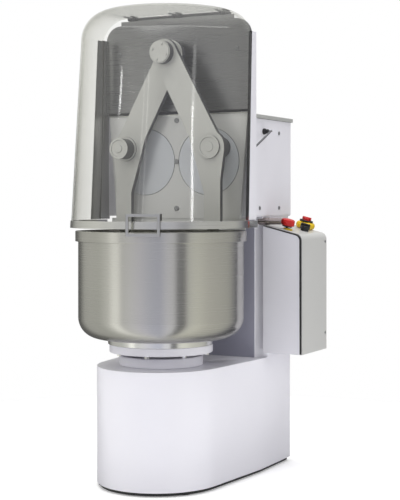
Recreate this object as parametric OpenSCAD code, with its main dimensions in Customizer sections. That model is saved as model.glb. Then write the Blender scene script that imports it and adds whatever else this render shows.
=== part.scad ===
// Free-standing twin-arm dough mixer.
// Two box arms ride on counter-turning crank discs and dive into a turning bowl under a hinged clear guard.
// Millimetres, +Z up, front towards -Y. The pieces are drawn about the bowl's axis, with the floor at z = 0.
// place() then moves them so that the origin is the centre of the machine's footprint.

/* [Base and column] */
// Width across the sides of the column and the gearbox head
body_w = 508; // [490:1:530]
// Height of the levelling feet
foot_h = 14; // [8:1:30]
// Height of the base deck above the floor
deck_z = 414; // [390:1:430]
// Radius of the base's rounded nose
nose_r = 236; // [225:1:245]
// How far the nose's centre lies in front of the bowl's axis
nose_lead = 6; // [0:1:20]
// Distance from the bowl's axis to where the base reaches its full width
flare_y = 270; // [220:1:300]
// Distance from the bowl's axis to the column's front
column_y = 308; // [300:1:325]
// Distance from the bowl's axis to the rear of the machine
rear_y = 560; // [550:1:600]
// Width of the chamfer on the column's front corners
column_chamfer = 37; // [20:1:45]
// Radius of the base's rear corners
base_corner = 30; // [15:1:45]
// Thickness of the painted steel sheet
sheet = 3; // [2:0.5:4]
// Thickness of the deck plate
deck_t = 5; // [4:0.5:8]
// Radius of a foot's pad
foot_r = 28; // [20:1:35]
// Radius of a foot's stud
stud_r = 8; // [6:0.5:10]
// Width of the dark recess between the column and the head
neck_h = 11; // [6:1:16]
// Depth of that recess
neck_in = 8; // [4:1:12]

/* [Gearbox head] */
// Height of the head's underside
head_z = 928; // [920:1:940]
// Height of the top of the head's side walls
head_top = 1283; // [1278:1:1300]
// Thickness of the folded lid
lid_h = 14; // [10:1:20]
// How far the lid stands over the side walls
lid_over = 6; // [2:1:10]
// Distance from the bowl's axis to the face of the front plate
plate_y = 114; // [114:1:122]
// Thickness of the front plate
plate_t = 16; // [15:1:20]
// Half width of the front plate at its top edge
plate_top_w = 282; // [270:1:286]
// Half width of the front plate at its bottom edge
plate_low_w = 251; // [245:1:260]
// Height of the front plate's top edge
plate_top = 1297; // [1290:1:1299]
// Height of the front plate's bottom edge
plate_low = 922; // [915:1:926]
// Height of the top of the brushed back panel
panel_top = 1626; // [1615:1:1626]
// Width of the dark gap between the front plate and the back panel
panel_gap = 4; // [2:1:6]
// Thickness of the back panel
panel_t = 10; // [8:1:12]
// Distance from the centre to the outside of a cheek
cheek_w = 304; // [300:1:308]
// Thickness of a cheek
cheek_t = 10; // [6:1:12]
// Thickness of the rear flange of a cheek
cheek_flange = 8; // [5:1:10]

/* [Arm drive] */
// Distance from the centre to each crank's axis
crank_x = 128; // [126:0.5:130]
// Height of the crank axes
crank_z = 1126; // [1120:1:1132]
// Radius of a crank disc
disc_r = 119; // [112:0.5:121]
// Thickness of a crank disc
disc_t = 12; // [10:0.5:14]
// Running gap around a crank disc
disc_gap = 1.5; // [1:0.1:3]
// Throw of a crank
throw = 70; // [60:1:74]
// Angle of the crank pins above the horizontal in the rest pose
crank_angle = 41.5; // [36:0.5:46]
// Radius of a crank pin
pin_r = 16; // [12:0.5:18]
// Radius of a crank shaft
shaft_r = 25; // [20:0.5:28]
// Outer radius of a crank bearing
bearing_r = 45; // [40:0.5:50]
// Depth of the gear room between the gearbox walls
gear_room = 64; // [60:1:80]
// Thickness of each gearbox wall and of the bearings in it
case_wall = 12; // [10:1:16]
// Face width of the gears
gear_w = 30; // [24:1:34]
// Size of the gear teeth, as pitch diameter over number of teeth
tooth = 4; // [3.6:0.1:4.1]
// Number of teeth of each crank gear
gear_teeth = 46; // [44:1:46]
// Number of teeth of the input pinion and of the idler
pinion_teeth = 12; // [11:1:13]
// Radius of the input shaft
input_r = 15; // [12:0.5:18]
// Running clearance of a shaft in its bearing
run = 0.05; // [0.03:0.01:0.09]
// Clearance between pieces that are fixed together
seat = 0.1; // [0.05:0.05:0.3]
// Radius of the large pulley on the input shaft
input_pulley_r = 98; // [80:1:100]
// Radius of the small pulley on the motor
motor_pulley_r = 36; // [34:1:46]
// Thickness of the drive belt
belt_t = 6; // [4:0.5:8]
// Width of the drive belt
belt_w = 20; // [14:1:24]
// Radius of the motor's body
motor_r = 85; // [70:1:90]
// Length of the motor's body
motor_l = 165; // [140:1:170]
// Sideways place of the motor's axis
motor_x = -60; // [-80:1:0]

/* [Arms] */
// Thickness of each arm
arm_d = 20; // [18:1:24]
// Gap between the planes of the two arms
arm_gap = 28; // [24:1:30]
// Length of the hub barrel on each arm
barrel_l = 93; // [90:1:94]
// Gap between the hub barrels and the crank discs
arm_clear = 5; // [4:0.5:8]
// Height of the top pin
top_z = 1507; // [1490:1:1515]
// Half width of the upper arm, and radius of its eye
arm_half = 49; // [44:1:52]
// Radius of the arm around the crank pin
knee_r = 57; // [52:1:60]
// Reach of the lower arm outwards from the crank pin
shank_out = 42; // [38:1:46]
// Reach of the lower arm inwards from the crank pin
shank_in = 21; // [18:1:26]
// Drop from the crank pin to where the outer edge turns straight down
shank_bend = 115; // [100:1:125]
// Drop from the crank pin to where the inner edge turns straight down
web_drop = 160; // [145:1:175]
// Distance up the arm from the crank pin to where the inner web starts
web_rise = 73; // [60:1:85]
// Height of the lower end of the box arms
shank_z = 905; // [895:1:915]
// Wall of the hollow lower arm
shank_wall = 5; // [4:0.5:6]
// Length of the hollow in the lower arm
socket_l = 90; // [70:1:110]
// Radius of the hub barrel on each arm
barrel_r = 37; // [34:0.5:40]
// Radius of the bearing caps
cap_r = 41; // [38:0.5:43]
// Thickness of the crank pins' caps
cap_t = 7; // [5:0.5:9]
// Height of the top pin's cap in front of the arm
top_cap_t = 31; // [24:1:34]
// Radius of the hands' bar
hand_r = 17; // [14:0.5:20]
// Radius of the hands' bend
hand_bend = 110; // [90:1:120]
// Angle of the hands' bend
hand_turn = 55; // [40:1:60]
// Height where the hands start to bend
hand_z = 762; // [756:1:775]

/* [Bowl] */
// Outer radius of the bowl's wall
bowl_r = 290; // [280:1:293]
// Outer radius of the bowl's rolled rim
rim_r = 300; // [297:1:303]
// Height of the rim band
rim_h = 36; // [28:1:40]
// Height of the bowl from its base ring to its rim
bowl_h = 372; // [360:1:376]
// Thickness of the bowl's wall
bowl_t = 4; // [3:0.5:5]
// Radius of the bowl's lower corner
bowl_corner = 72; // [60:1:85]
// Radius of the steel ring under the bowl
ring_r = 186; // [182:1:195]
// Height of the steel ring
ring_h = 22; // [16:1:26]
// Radius of the drive flange
flange_r = 181; // [175:1:185]
// Height of the drive flange
flange_h = 28; // [24:1:32]
// Radius of the fixed hub on the deck
hub_r = 147; // [140:1:150]
// Height of the fixed hub
hub_h = 33; // [28:1:36]
// Running gap between the hub and the drive flange
hub_gap = 12; // [11:1:16]
// Radius of the bowl's shaft
bowl_shaft_r = 30; // [25:1:34]
// Number of bolts under the drive flange
bolt_count = 8; // [6:1:12]

/* [Guard] */
// Outer radius of the guard at its lower edge
guard_r = 315; // [312:1:318]
// Height of the guard's lower edge
guard_z = 892; // [888:1:898]
// Height of the guard's roof over the brushed back panel
guard_over = 27; // [20:1:32]
// Thickness of the clear plastic
guard_t = 5; // [4:0.5:6]
// Taper of the guard's wall, in degrees
guard_draft = 0.7; // [0.5:0.1:1.2]
// Backward lean of the guard's rear edge and its seal, in degrees
guard_lean = 2.35; // [2:0.05:2.6]
// Backward lean of the guard's axis, in degrees
guard_back = 4.5; // [4:0.1:5]
// Radius between the guard's wall and its roof
guard_round = 105; // [98:1:112]
// Distance from the bowl's axis to the guard's rear edge
guard_rear = 67; // [60:1:70]
// Height of the steel band along the guard's lower edge
band_h = 25; // [18:1:30]
// Thickness of that band
band_t = 3; // [2:0.5:4]
// How far the band runs on along the cheeks
band_tail = 72; // [60:1:80]
// Width of the seal along the guard's rear edge
seal_w = 7; // [5:0.5:9]
// Angle of the handle around the bowl's axis
handle_turn = 19; // [10:1:25]
// Width of the handle's loop
handle_w = 114; // [90:1:130]
// Height of the handle's loop
handle_h = 74; // [65:1:80]
// Thickness of the handle's square bar
handle_bar = 10; // [8:1:12]
// Distance from the guard's face to the middle of the handle's bar
handle_out = 27; // [22:1:34]
// Radius of the hinge rod
rod_r = 4; // [3:0.5:5]
// Distance from the middle to the outer hinge blocks
block_x = 186; // [170:1:188]

/* [Control box] */
// Depth of the control box along the machine's side
box_l = 250; // [247:1:256]
// Distance from the bowl's axis to the control box's front
box_y = 303; // [300:1:304]
// How far the control box stands out from the column
box_w = 146; // [130:1:160]
// Height of the control box's underside
box_z = 434; // [425:1:445]
// Height of the control box at the column
box_top = 896; // [885:1:905]
// Slope of the control box's top, in degrees
box_slope = 13.5; // [10:0.5:16]
// Radius of the control box's outer top corner
box_corner = 24; // [18:1:30]
// Thickness of the box's steel front
front_t = 8; // [6:1:10]
// Thickness of the gasket behind the front
gasket_t = 4; // [3:0.5:6]
// Thickness of the stainless cover
cover_t = 2; // [1.5:0.5:3]
// Distance of the controls from the column's side
control_x = 73; // [66:1:78]
// Distance of the emergency stop from the box's front
estop_y = 57; // [50:1:62]
// Distance of the selector from the box's front
selector_y = 152; // [145:1:156]
// Distance of the selector from the column's side
selector_x = 98; // [92:1:103]
// Distance of the main switch from the box's front
switch_y = 215; // [208:1:216]
// Radius of the emergency stop's mushroom
estop_r = 20; // [16:1:22]
// Travel of the emergency stop
estop_travel = 5; // [4:0.5:6]
// Half width of the main switch's square plate
plate_half = 27; // [22:1:29]

/* [Hidden] */
$fn = 96;
small = 32;
far = 4 * body_w;
half = body_w / 2;
base_top_in = deck_z - deck_t;
head_y = plate_y + plate_t;
case_y1 = head_y + case_wall;
case_y2 = case_y1 + gear_room;
case_back = case_y2 + case_wall;
case_half = half - 14;
gear_r = tooth * gear_teeth / 2;
pinion_r = tooth * pinion_teeth / 2;
pinion_drop = sqrt(pow(gear_r + pinion_r, 2) - pow(crank_x - pinion_r, 2));
pinion_z = crank_z - pinion_drop;
mesh_angle = atan2(-pinion_drop, crank_x - pinion_r);
pinion_phase = mesh_angle + 180 + 180 / pinion_teeth;
gear_y = case_y1 + (gear_room - gear_w) / 2;
case_z = head_z + sheet;
snout_l = 82;
snout_r = 34;
input_bearing_r = pinion_r - 1;
belt_y = column_y + sheet + 22;
belt_gap = 1.2;
motor_z = deck_z + motor_r + 25;
front_y = plate_y - arm_clear - barrel_l;
rear_arm_y = front_y + arm_d + arm_gap;
arm_back = plate_y - arm_clear;
knee_x = crank_x + throw * cos(crank_angle);
knee_z = crank_z + throw * sin(crank_angle);
hub_top = deck_z + hub_h;
flange_z = hub_top + hub_gap;
ring_z = flange_z + flange_h;
bowl_z = ring_z + ring_h;
hub_low = deck_z - 70;
hub_barrel_r = 58;
bowl_bearing_r = 50;
guard_top = panel_top + guard_over;
guard_h = guard_top - guard_z;
guard_rise = guard_h - guard_round;
crown_y = guard_rise * tan(guard_back);
crown_r = guard_r - guard_rise * tan(guard_draft) - guard_round;
knuckle_r = rod_r + 3;
hinge_y = guard_rear + guard_h * tan(guard_lean) + 24;
hinge_z = guard_top + 4 - knuckle_r;
block_half = 8;
strap_w = 10;
leaf_w = block_x + block_half + strap_w + 2;
panel_half = cheek_w - cheek_t;
panel_round = guard_round * 0.56;
box_x = half + box_w;
box_back = box_y + box_l;
panel_y2 = rear_y + 2;
handle_r = guard_r + handle_out;
handle_front = -(handle_r + handle_bar / 2) * cos(handle_turn) - handle_w / 2 * sin(handle_turn);
screw_h = 3;
gland_l = 22;
left_end = -(guard_r + band_t);
mid_x = (box_x + cover_t + screw_h + left_end) / 2;
mid_y = (panel_y2 + gland_l + handle_front) / 2;
feet = [[-150, -120], [150, -120], [-200, rear_y - 70], [200, rear_y - 70]];

// Moves the machine so that the origin is the centre of its footprint.
module place() {
    translate([-mid_x, -mid_y, 0]) children();
}

// A cylinder from point y1 to y2 along Y, centred at [x, z].
module rod_y(x, z, r, y1, y2) {
    translate([x, y1, z]) rotate([-90, 0, 0]) cylinder(r = r, h = y2 - y1);
}

// A cylinder from x1 to x2 along X, centred at [y, z].
module rod_x(y, z, r, x1, x2) {
    translate([x1, y, z]) rotate([0, 90, 0]) cylinder(r = r, h = x2 - x1);
}

// A box between two corners.
module block(a, b) {
    translate(a) cube(b - a);
}

// An outline in X and Z, drawn out from y1 to y2.
module slab(y1, y2) {
    translate([0, y2, 0]) rotate([90, 0, 0]) linear_extrude(height = y2 - y1) children();
}

// Mirrored copies on both sides of the middle.
module both_sides() {
    children();
    mirror([1, 0, 0]) children();
}

// The base's plan, drawn in by t.
module base_plan(t) {
    w = half - t;
    c = base_corner - t;
    translate([0, -nose_lead]) intersection() {
        circle(r = nose_r - t);
        translate([-nose_r, -nose_r]) square([2 * nose_r, nose_r]);
    }
    polygon([
        [nose_r - t, -nose_lead], [w, flare_y], [w, rear_y - base_corner], [w - c, rear_y - t],
        [-w + c, rear_y - t], [-w, rear_y - base_corner], [-w, flare_y], [-nose_r + t, -nose_lead]
    ]);
    for (x = [-1, 1]) translate([x * (half - base_corner), rear_y - base_corner]) circle(r = c);
}

// The column's plan with its chamfered front corners, drawn in by t.
module column_plan(t) {
    w = half - t;
    c = column_chamfer;
    k = t * (sqrt(2) - 1);
    polygon([
        [-w, rear_y - t], [-w, column_y + c + k], [-half + c + k, column_y + t],
        [half - c - k, column_y + t], [w, column_y + c + k], [w, rear_y - t]
    ]);
}

module base_housing() {
    color("#e6e5ea") place() difference() {
        translate([0, 0, foot_h]) linear_extrude(height = deck_z - foot_h) base_plan(0);
        translate([0, 0, foot_h - 1]) linear_extrude(height = base_top_in - foot_h + 1) base_plan(sheet);
        cylinder(r = hub_barrel_r + 1, h = deck_z + 1);
        block([-60, column_y + 60, 0], [60, rear_y - 60, deck_z + 1]);
    }
}

module base_floor() {
    color("#8e9094") place() difference() {
        translate([0, 0, foot_h]) linear_extrude(height = 6) base_plan(sheet + 0.3);
        for (f = feet) translate([f.x, f.y, 0]) cylinder(r = stud_r + 0.3, h = foot_h + 20);
    }
}

module levelling_feet() {
    color("#2b2c2e") place() for (f = feet) translate([f.x, f.y, 0]) {
        cylinder(r = foot_r, h = foot_h);
        cylinder(r = stud_r, h = foot_h + 40);
        translate([0, 0, foot_h + 6]) cylinder(r = stud_r * 1.7, h = 10, $fn = 6);
    }
}

module bowl_hub() {
    color("#e4e4ea") place() difference() {
        union() {
            translate([0, 0, deck_z]) cylinder(r = hub_r, h = hub_h);
            translate([0, 0, hub_low]) cylinder(r = hub_barrel_r, h = deck_z - hub_low);
        }
        translate([0, 0, hub_low - 1]) cylinder(r = bowl_shaft_r + 6, h = hub_h + 72 + 70);
        translate([0, 0, hub_top - 16]) cylinder(r = bowl_bearing_r, h = 17);
        translate([0, 0, hub_low - 1]) cylinder(r = bowl_bearing_r, h = 17);
    }
}

module bowl_bearings() {
    color("#9a9ca0") place() for (z = [hub_low, hub_top - 16]) translate([0, 0, z]) difference() {
        cylinder(r = bowl_bearing_r - seat, h = 16);
        translate([0, 0, -1]) cylinder(r = bowl_shaft_r + run, h = 18);
    }
}

module bowl_gearmotor() {
    color("#5a6470") place() difference() {
        union() {
            block([-80, -80, hub_low - 120], [80, 80, hub_low]);
            rod_y(0, hub_low - 60, 62, 80, 260);
            rod_y(0, hub_low - 60, 70, 90, 100);
        }
        translate([0, 0, hub_low - 121]) cylinder(r = bowl_shaft_r + 0.3, h = 122);
    }
}

module column_housing() {
    color("#e6e5ea") place() difference() {
        translate([0, 0, deck_z]) linear_extrude(height = head_z - neck_h - deck_z) column_plan(0);
        translate([0, 0, deck_z - 1]) linear_extrude(height = head_z - neck_h - deck_z + 2) column_plan(sheet);
        block([-half + 40, rear_y - sheet - 1, deck_z + 40], [half - 40, rear_y + 1, head_z]);
    }
}

module head_housing() {
    w = half - sheet;
    n = half - neck_in;
    color("#e6e5ea") place() difference() {
        union() {
            block([-w, head_y, head_z], [w, rear_y, head_top]);
            block([-n, column_y + neck_in, head_z - neck_h], [n, rear_y - neck_in, head_z]);
        }
        block([-w + sheet, head_y - 1, head_z + sheet], [w - sheet, rear_y - sheet, head_top + 1]);
        block([-n + sheet, column_y + neck_in + sheet, head_z - neck_h - 1],
              [n - sheet, rear_y - neck_in - sheet, head_z + sheet + 1]);
        block([-half + 40, rear_y - sheet - 1, head_z + sheet], [half - 40, rear_y + 1, head_top - 40]);
    }
}

module head_lid() {
    w = half + lid_over;
    color("#a9aba8") place() difference() {
        block([-w, head_y, head_top], [w, rear_y + lid_over, head_top + lid_h]);
        block([-w + sheet, head_y + sheet, head_top - 1], [w - sheet, rear_y + lid_over - sheet, head_top + lid_h - sheet]);
        both_sides() block([half - sheet - run, head_y - 1, head_top - 1],
                           [w + 1, head_y + cheek_flange + run, head_top + lid_h + 1]);
    }
    color("#a9aba8") place() for (x = [-1, 1]) {
        block([x * (half - 20) - 14, head_y + 20, head_top], [x * (half - 20) + 14, head_y + 40, head_top + lid_h - sheet]);
    }
}

module rear_panel() {
    color("#e6e5ea") place() difference() {
        block([-half + 20, rear_y, deck_z + 20], [half - 20, panel_y2, head_top - 20]);
        for (i = [0 : 9], x = [-1, 1]) {
            block([x * 90 - 60, rear_y - 1, deck_z + 120 + i * 22], [x * 90 + 60, panel_y2 + 1, deck_z + 127 + i * 22]);
        }
        rod_y(-half + 80, deck_z + 60, 10, rear_y - 1, panel_y2 + 1);
    }
}

module side_panels() {
    color("#c8c8cc") place() both_sides() {
        block([half - sheet, head_y + 10, head_z + 4], [half, rear_y - 2, head_top]);
    }
}

// One domed screw head that stands up along +Z.
module screw_head(r = 7, h = screw_h) {
    cylinder(r = r, h = h - 1);
    translate([0, 0, h - 1]) cylinder(r1 = r, r2 = r - 1.5, h = 1);
}

module panel_screws() {
    color("#d8d9dc") place() {
        for (z = [plate_top - 24, crank_z, plate_low + 37]) {
            translate([0, plate_y, z]) rotate([90, 0, 0]) screw_head(9, 4);
        }
        both_sides() for (y = [column_y - 36, rear_y - 115], z = [head_z + 31, head_top - 46]) {
            if (y > column_y || z < crank_z) translate([half, y, z]) rotate([0, 90, 0]) screw_head();
        }
        both_sides() for (z = [deck_z + 36, head_top - 36]) {
            translate([half - 30, panel_y2, z]) rotate([-90, 0, 0]) screw_head();
        }
        both_sides() translate([238, plate_y, panel_top - 106]) rotate([90, 0, 0]) screw_head(8);
        for (z = [box_z + 60, box_z + 400]) {
            translate([box_x + cover_t, box_back - 16, z]) rotate([0, 90, 0]) screw_head(5);
        }
    }
}

module front_plate() {
    color("#c9c9c7") place() difference() {
        slab(plate_y, head_y) polygon([
            [-plate_low_w, plate_low], [plate_low_w, plate_low],
            [plate_top_w, plate_top], [-plate_top_w, plate_top]
        ]);
        both_sides() rod_y(crank_x, crank_z, disc_r + disc_gap, plate_y - 1, head_y + 1);
    }
}

module gearbox_case() {
    color("#6d737a") place() difference() {
        union() {
            block([-case_half, head_y, case_z], [case_half, case_back, head_top - 10]);
            rod_y(-pinion_r, pinion_z, snout_r, case_back, case_back + snout_l);
        }
        block([-case_half + 8, case_y1, crank_z - gear_r - 40], [case_half - 8, case_y2, head_top]);
        both_sides() rod_y(crank_x, crank_z, bearing_r, head_y - 1, case_back + 1);
        for (x = [-pinion_r, pinion_r]) rod_y(x, pinion_z, input_bearing_r, case_y1 - case_wall + 2, case_y1 + 1);
        rod_y(-pinion_r, pinion_z, input_r + 3, case_y2 - 1, case_back + snout_l + 1);
        rod_y(-pinion_r, pinion_z, input_bearing_r, case_back + snout_l - 14, case_back + snout_l + 1);
        rod_y(pinion_r, pinion_z, input_bearing_r, case_y2 - 1, case_back - 2);
    }
}

// A bearing ring from y1 to y2 for a shaft of radius r.
module bearing(x, z, outer, r, y1, y2) {
    difference() {
        rod_y(x, z, outer - seat, y1, y2);
        rod_y(x, z, r + run, y1 - 1, y2 + 1);
    }
}

module crank_bearings() {
    color("#9a9ca0") place() both_sides() {
        bearing(crank_x, crank_z, bearing_r, shaft_r, head_y, case_y1);
        bearing(crank_x, crank_z, bearing_r, shaft_r, case_y2, case_back);
    }
}

module input_bearings() {
    color("#9a9ca0") place() {
        for (x = [-pinion_r, pinion_r]) bearing(x, pinion_z, input_bearing_r, input_r, case_y1 - case_wall + 2, case_y1);
        bearing(-pinion_r, pinion_z, input_bearing_r, input_r, case_back + snout_l - 14, case_back + snout_l);
        bearing(pinion_r, pinion_z, input_bearing_r, input_r, case_y2, case_back - 2);
    }
}

// The points of a quarter circle of radius r around c, from angle a on.
function quarter(c, r, a) = [for (i = [0 : 12]) c + r * [cos(a + 7.5 * i), sin(a + 7.5 * i)]];

module back_panel() {
    low = plate_top + panel_gap;
    x = panel_half - panel_round;
    z = panel_top - panel_round;
    color("#9b9c9a") place() {
        slab(plate_y, plate_y + panel_t) polygon(concat(
            [[-panel_half, low], [panel_half, low]], quarter([x, z], panel_round, 0), quarter([-x, z], panel_round, 90)
        ));
        block([-half + 20, head_y, head_top + lid_h], [half - 20, head_y + 30, low + sheet]);
        block([-half + 20, plate_y + panel_t, low], [half - 20, head_y + 1, low + sheet]);
    }
}

// The space behind a plane that leans back with the guard, at distance y behind the bowl's axis.
module behind(y) {
    translate([0, 0, guard_z]) rotate([-guard_lean, 0, 0]) block([-far, y, -far], [far, far, far]);
}

module cheeks() {
    top = panel_top - panel_round + 8;
    rear = head_y + cheek_flange;
    color("#dcdce0") place() both_sides() intersection() {
        behind(guard_rear + seal_w);
        union() {
            block([panel_half, 0, plate_low - 3], [cheek_w, rear, top]);
            block([half - sheet, head_y, plate_low + 8], [panel_half, rear, head_top + lid_h + 40]);
        }
    }
}

module guard_seals() {
    top = panel_top - panel_round + 8;
    color("#1c1c1e") place() both_sides() difference() {
        intersection() {
            behind(guard_rear + 1);
            block([panel_half, 0, plate_low - 3], [cheek_w, head_y, top]);
        }
        behind(guard_rear + seal_w);
    }
}

module hinge_blocks() {
    color("#1c1c1e") place() for (x = [-block_x, 0, block_x]) difference() {
        union() {
            block([x - block_half, hinge_y - knuckle_r, panel_top], [x + block_half, hinge_y + knuckle_r, hinge_z]);
            rod_x(hinge_y, hinge_z, knuckle_r, x - block_half, x + block_half);
        }
        rod_x(hinge_y, hinge_z, rod_r + run, x - block_half - 1, x + block_half + 1);
    }
}

module motor() {
    y1 = belt_y + belt_w + 12;
    color("#4a5058") place() {
        rod_y(motor_x, motor_z, motor_r, y1 + 10, y1 + motor_l);
        rod_y(motor_x, motor_z, motor_r - 22, y1, y1 + 10);
        for (i = [0 : 5]) rod_y(motor_x, motor_z, motor_r + 3, y1 + 30 + i * 18, y1 + 36 + i * 18);
        block([motor_x - 70, y1 + 24, deck_z], [motor_x + 70, y1 + 140, motor_z - motor_r + 20]);
    }
}

// The points of two circles joined by their outer tangents, one of radius ra at a and one of radius rb at b.
function belt_points(a, ra, b, rb) =
    let (d = b - a, way = atan2(d.y, d.x), open = acos((ra - rb) / norm(d)))
    concat(
        [for (i = [0 : 24]) let (t = way + open + i * (360 - 2 * open) / 24) a + ra * [cos(t), sin(t)]],
        [for (i = [0 : 16]) let (t = way - open + i * 2 * open / 16) b + rb * [cos(t), sin(t)]]
    );

module drive_belt() {
    a = [-pinion_r, pinion_z];
    b = [motor_x, motor_z];
    color("#202022") place() slab(belt_y, belt_y + belt_w) difference() {
        polygon(belt_points(a, input_pulley_r + belt_t, b, motor_pulley_r + belt_t));
        polygon(belt_points(a, input_pulley_r + belt_gap, b, motor_pulley_r + belt_gap));
    }
}

gland_y = column_y - 1;
gland_z = head_top - 46;

module cable_gland() {
    color("#1c1c1e") place() {
        rod_x(gland_y, gland_z, 11, half, half + 8);
        rod_x(gland_y, gland_z, 8, half + 8, half + 20);
    }
}

module sensor_lead() {
    r = 3.5;
    bend = 18;
    x = half + 20 + bend;
    y1 = gland_y - bend;
    y2 = head_y + cheek_flange + 4;
    drop = 68;
    run_l = norm([y1 - y2, drop]);
    color("#6e7074") place() {
        translate([half + 20, y1, gland_z]) rotate_extrude(angle = 90) translate([bend, 0]) circle(r = r, $fn = small);
        translate([x, y1, gland_z]) sphere(r = r, $fn = small);
        translate([x, y1, gland_z]) rotate([90 + atan2(drop, y1 - y2), 0, 0]) cylinder(r = r, h = run_l, $fn = small);
    }
}

module mains_gland() {
    x = -half + 80;
    z = deck_z + 60;
    color("#1c1c1e") place() difference() {
        union() {
            rod_y(x, z, 9.7, rear_y - 8, panel_y2);
            rod_y(x, z, 16, panel_y2, panel_y2 + 8);
            rod_y(x, z, 13, panel_y2 + 8, panel_y2 + gland_l);
        }
        rod_y(x, z, 7, rear_y - 9, panel_y2 + gland_l + 1);
    }
}

// Height of the control box's sloped top at distance x from the column's side.
function slope_z(x) = box_top - x * tan(box_slope);

// The control box's outline in X and Z, drawn in by t, with its outer top corner rounded.
module box_profile(t) {
    r = box_corner - t;
    cx = box_x - box_corner;
    cz = slope_z(box_w - box_corner) - box_corner / cos(box_slope);
    polygon(concat(
        [[half, box_z + t], [box_x - t, box_z + t]],
        [for (i = [0 : 8]) let (a = i * (90 - box_slope) / 8) [cx + r * cos(a), cz + r * sin(a)]],
        [[half, box_top - t / cos(box_slope)]]
    ));
}

module box_body() {
    y1 = box_y + front_t + gasket_t;
    color("#d9d9dc") place() difference() {
        slab(y1, box_back) box_profile(0);
        slab(y1 - 1, box_back - sheet) difference() {
            box_profile(sheet);
            block2([half - 1, box_z - 1], [half + sheet, box_top + 1]);
        }
        on_slope(estop_y, 0) translate([0, 0, -6]) cylinder(r = 8.4, h = 12);
        on_slope(selector_y, 0, selector_x) translate([0, 0, -6]) cylinder(r = 8.4, h = 12);
        on_slope(switch_y, 0) translate([0, 0, -6]) cylinder(r = 8.4, h = 12);
    }
}

// A rectangle between two corners.
module block2(a, b) {
    translate(a) square(b - a);
}

module box_front() {
    color("#e6e5ea") place() slab(box_y, box_y + front_t) box_profile(0);
}

module box_gasket() {
    color("#1a1a1c") place() slab(box_y + front_t, box_y + front_t + gasket_t) difference() {
        box_profile(0);
        box_profile(12);
    }
}

module box_cover() {
    y1 = box_y + front_t + gasket_t;
    color("#c2c3c2") place() difference() {
        slab(y1, box_back) difference() {
            box_profile(-cover_t);
            box_profile(0);
            block2([half - 1, box_z - cover_t - 1], [box_x - 30, box_z + 30]);
        }
        on_slope(estop_y, 0) cylinder(r = 11.3, h = 20, center = true);
        on_slope(selector_y, 0, selector_x) cylinder(r = 11.3, h = 20, center = true);
        on_slope(switch_y, 0) cylinder(r = 11.3, h = 20, center = true);
    }
}

// Places a control on the sloped cover, dy behind the box's front and up above the steel body.
module on_slope(dy, up, dx = control_x) {
    translate([half + dx, box_y + dy, slope_z(dx)]) rotate([0, box_slope, 0])
        translate([0, 0, up]) children();
}

// A collar that sits on the cover with its neck through the cover and the body, and a bore for a stem.
module control_base(r, h) {
    difference() {
        union() {
            translate([0, 0, cover_t]) cylinder(r = r, h = h);
            cylinder(r = 11, h = cover_t);
            translate([0, 0, -14]) cylinder(r = 8, h = 14);
        }
        translate([0, 0, -15]) cylinder(r = 5 + run, h = h + cover_t + 20);
    }
}

module estop_ring() {
    color("#e2c12a") place() on_slope(estop_y, 0) control_base(17, 5);
}

module selector_base() {
    color("#222224") place() on_slope(selector_y, 0, selector_x) control_base(15, 6);
}

module switch_plate() {
    color("#e2c12a") place() on_slope(switch_y, 0) difference() {
        union() {
            translate([-plate_half, -plate_half, cover_t]) cube([2 * plate_half, 2 * plate_half, 4]);
            cylinder(r = 11, h = cover_t);
            translate([0, 0, -14]) cylinder(r = 8, h = 14);
        }
        translate([0, 0, -15]) cylinder(r = 5 + run, h = 40);
    }
}

module estop_button() {
    color("#c01f26") place() on_slope(estop_y, cover_t + 5) {
        translate([0, 0, -17]) cylinder(r = 5, h = 24);
        translate([0, 0, estop_travel + 2]) cylinder(r1 = 12, r2 = 13, h = 8);
        translate([0, 0, estop_travel + 9]) cylinder(r = estop_r, h = 6);
        translate([0, 0, estop_travel + 15]) cylinder(r1 = estop_r, r2 = estop_r - 8, h = 4);
    }
}

module selector_knob() {
    color("#1c1c1e") place() on_slope(selector_y, cover_t + 6, selector_x) {
        translate([0, 0, -18]) cylinder(r = 5, h = 18.5);
        translate([0, 0, 0.3]) cylinder(r = 13, h = 6);
        translate([-13, -4, 6]) cube([26, 8, 12]);
    }
}

module switch_handle() {
    color("#b8202a") place() on_slope(switch_y, cover_t + 4) {
        translate([0, 0, -16]) cylinder(r = 5, h = 16.5);
        translate([0, 0, 0.3]) cylinder(r1 = 22, r2 = 20, h = 9);
        translate([-6, -20, 9]) cube([12, 40, 13]);
    }
}

// A crank: the disc flush in the front plate and its pin, on the +X side.
module crank_disc(pin_front) {
    rod_y(crank_x, crank_z, disc_r, plate_y, plate_y + disc_t);
    rod_y(knee_x, knee_z, pin_r, pin_front, plate_y);
    rod_y(knee_x, knee_z, pin_r + 12, plate_y - 3, plate_y);
}

// A crank shaft with its flange against the disc and a collar in front of the gear.
module crank_shaft() {
    rod_y(crank_x, crank_z, shaft_r + 12, plate_y + disc_t, head_y - 0.5);
    rod_y(crank_x, crank_z, shaft_r, head_y - 0.5, case_back + 4);
    rod_y(crank_x, crank_z, shaft_r + 7, case_y1 + 1, gear_y);
}

// A spur gear's outline with n straight-flanked teeth, the first one pointing at angle a.
module gear_outline(n, a, root_share, tip_share) {
    r = tooth * n / 2;
    p = 360 / n;
    polygon([
        for (i = [0 : n - 1], k = [-2, -1, 1, 2])
        let (share = abs(k) == 2 ? root_share : tip_share,
             rr = abs(k) == 2 ? r - 1.15 * tooth : r + 0.9 * tooth,
             t = a + p * i + sign(k) * share * p)
        [rr * cos(t), rr * sin(t)]
    ]);
}

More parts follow.
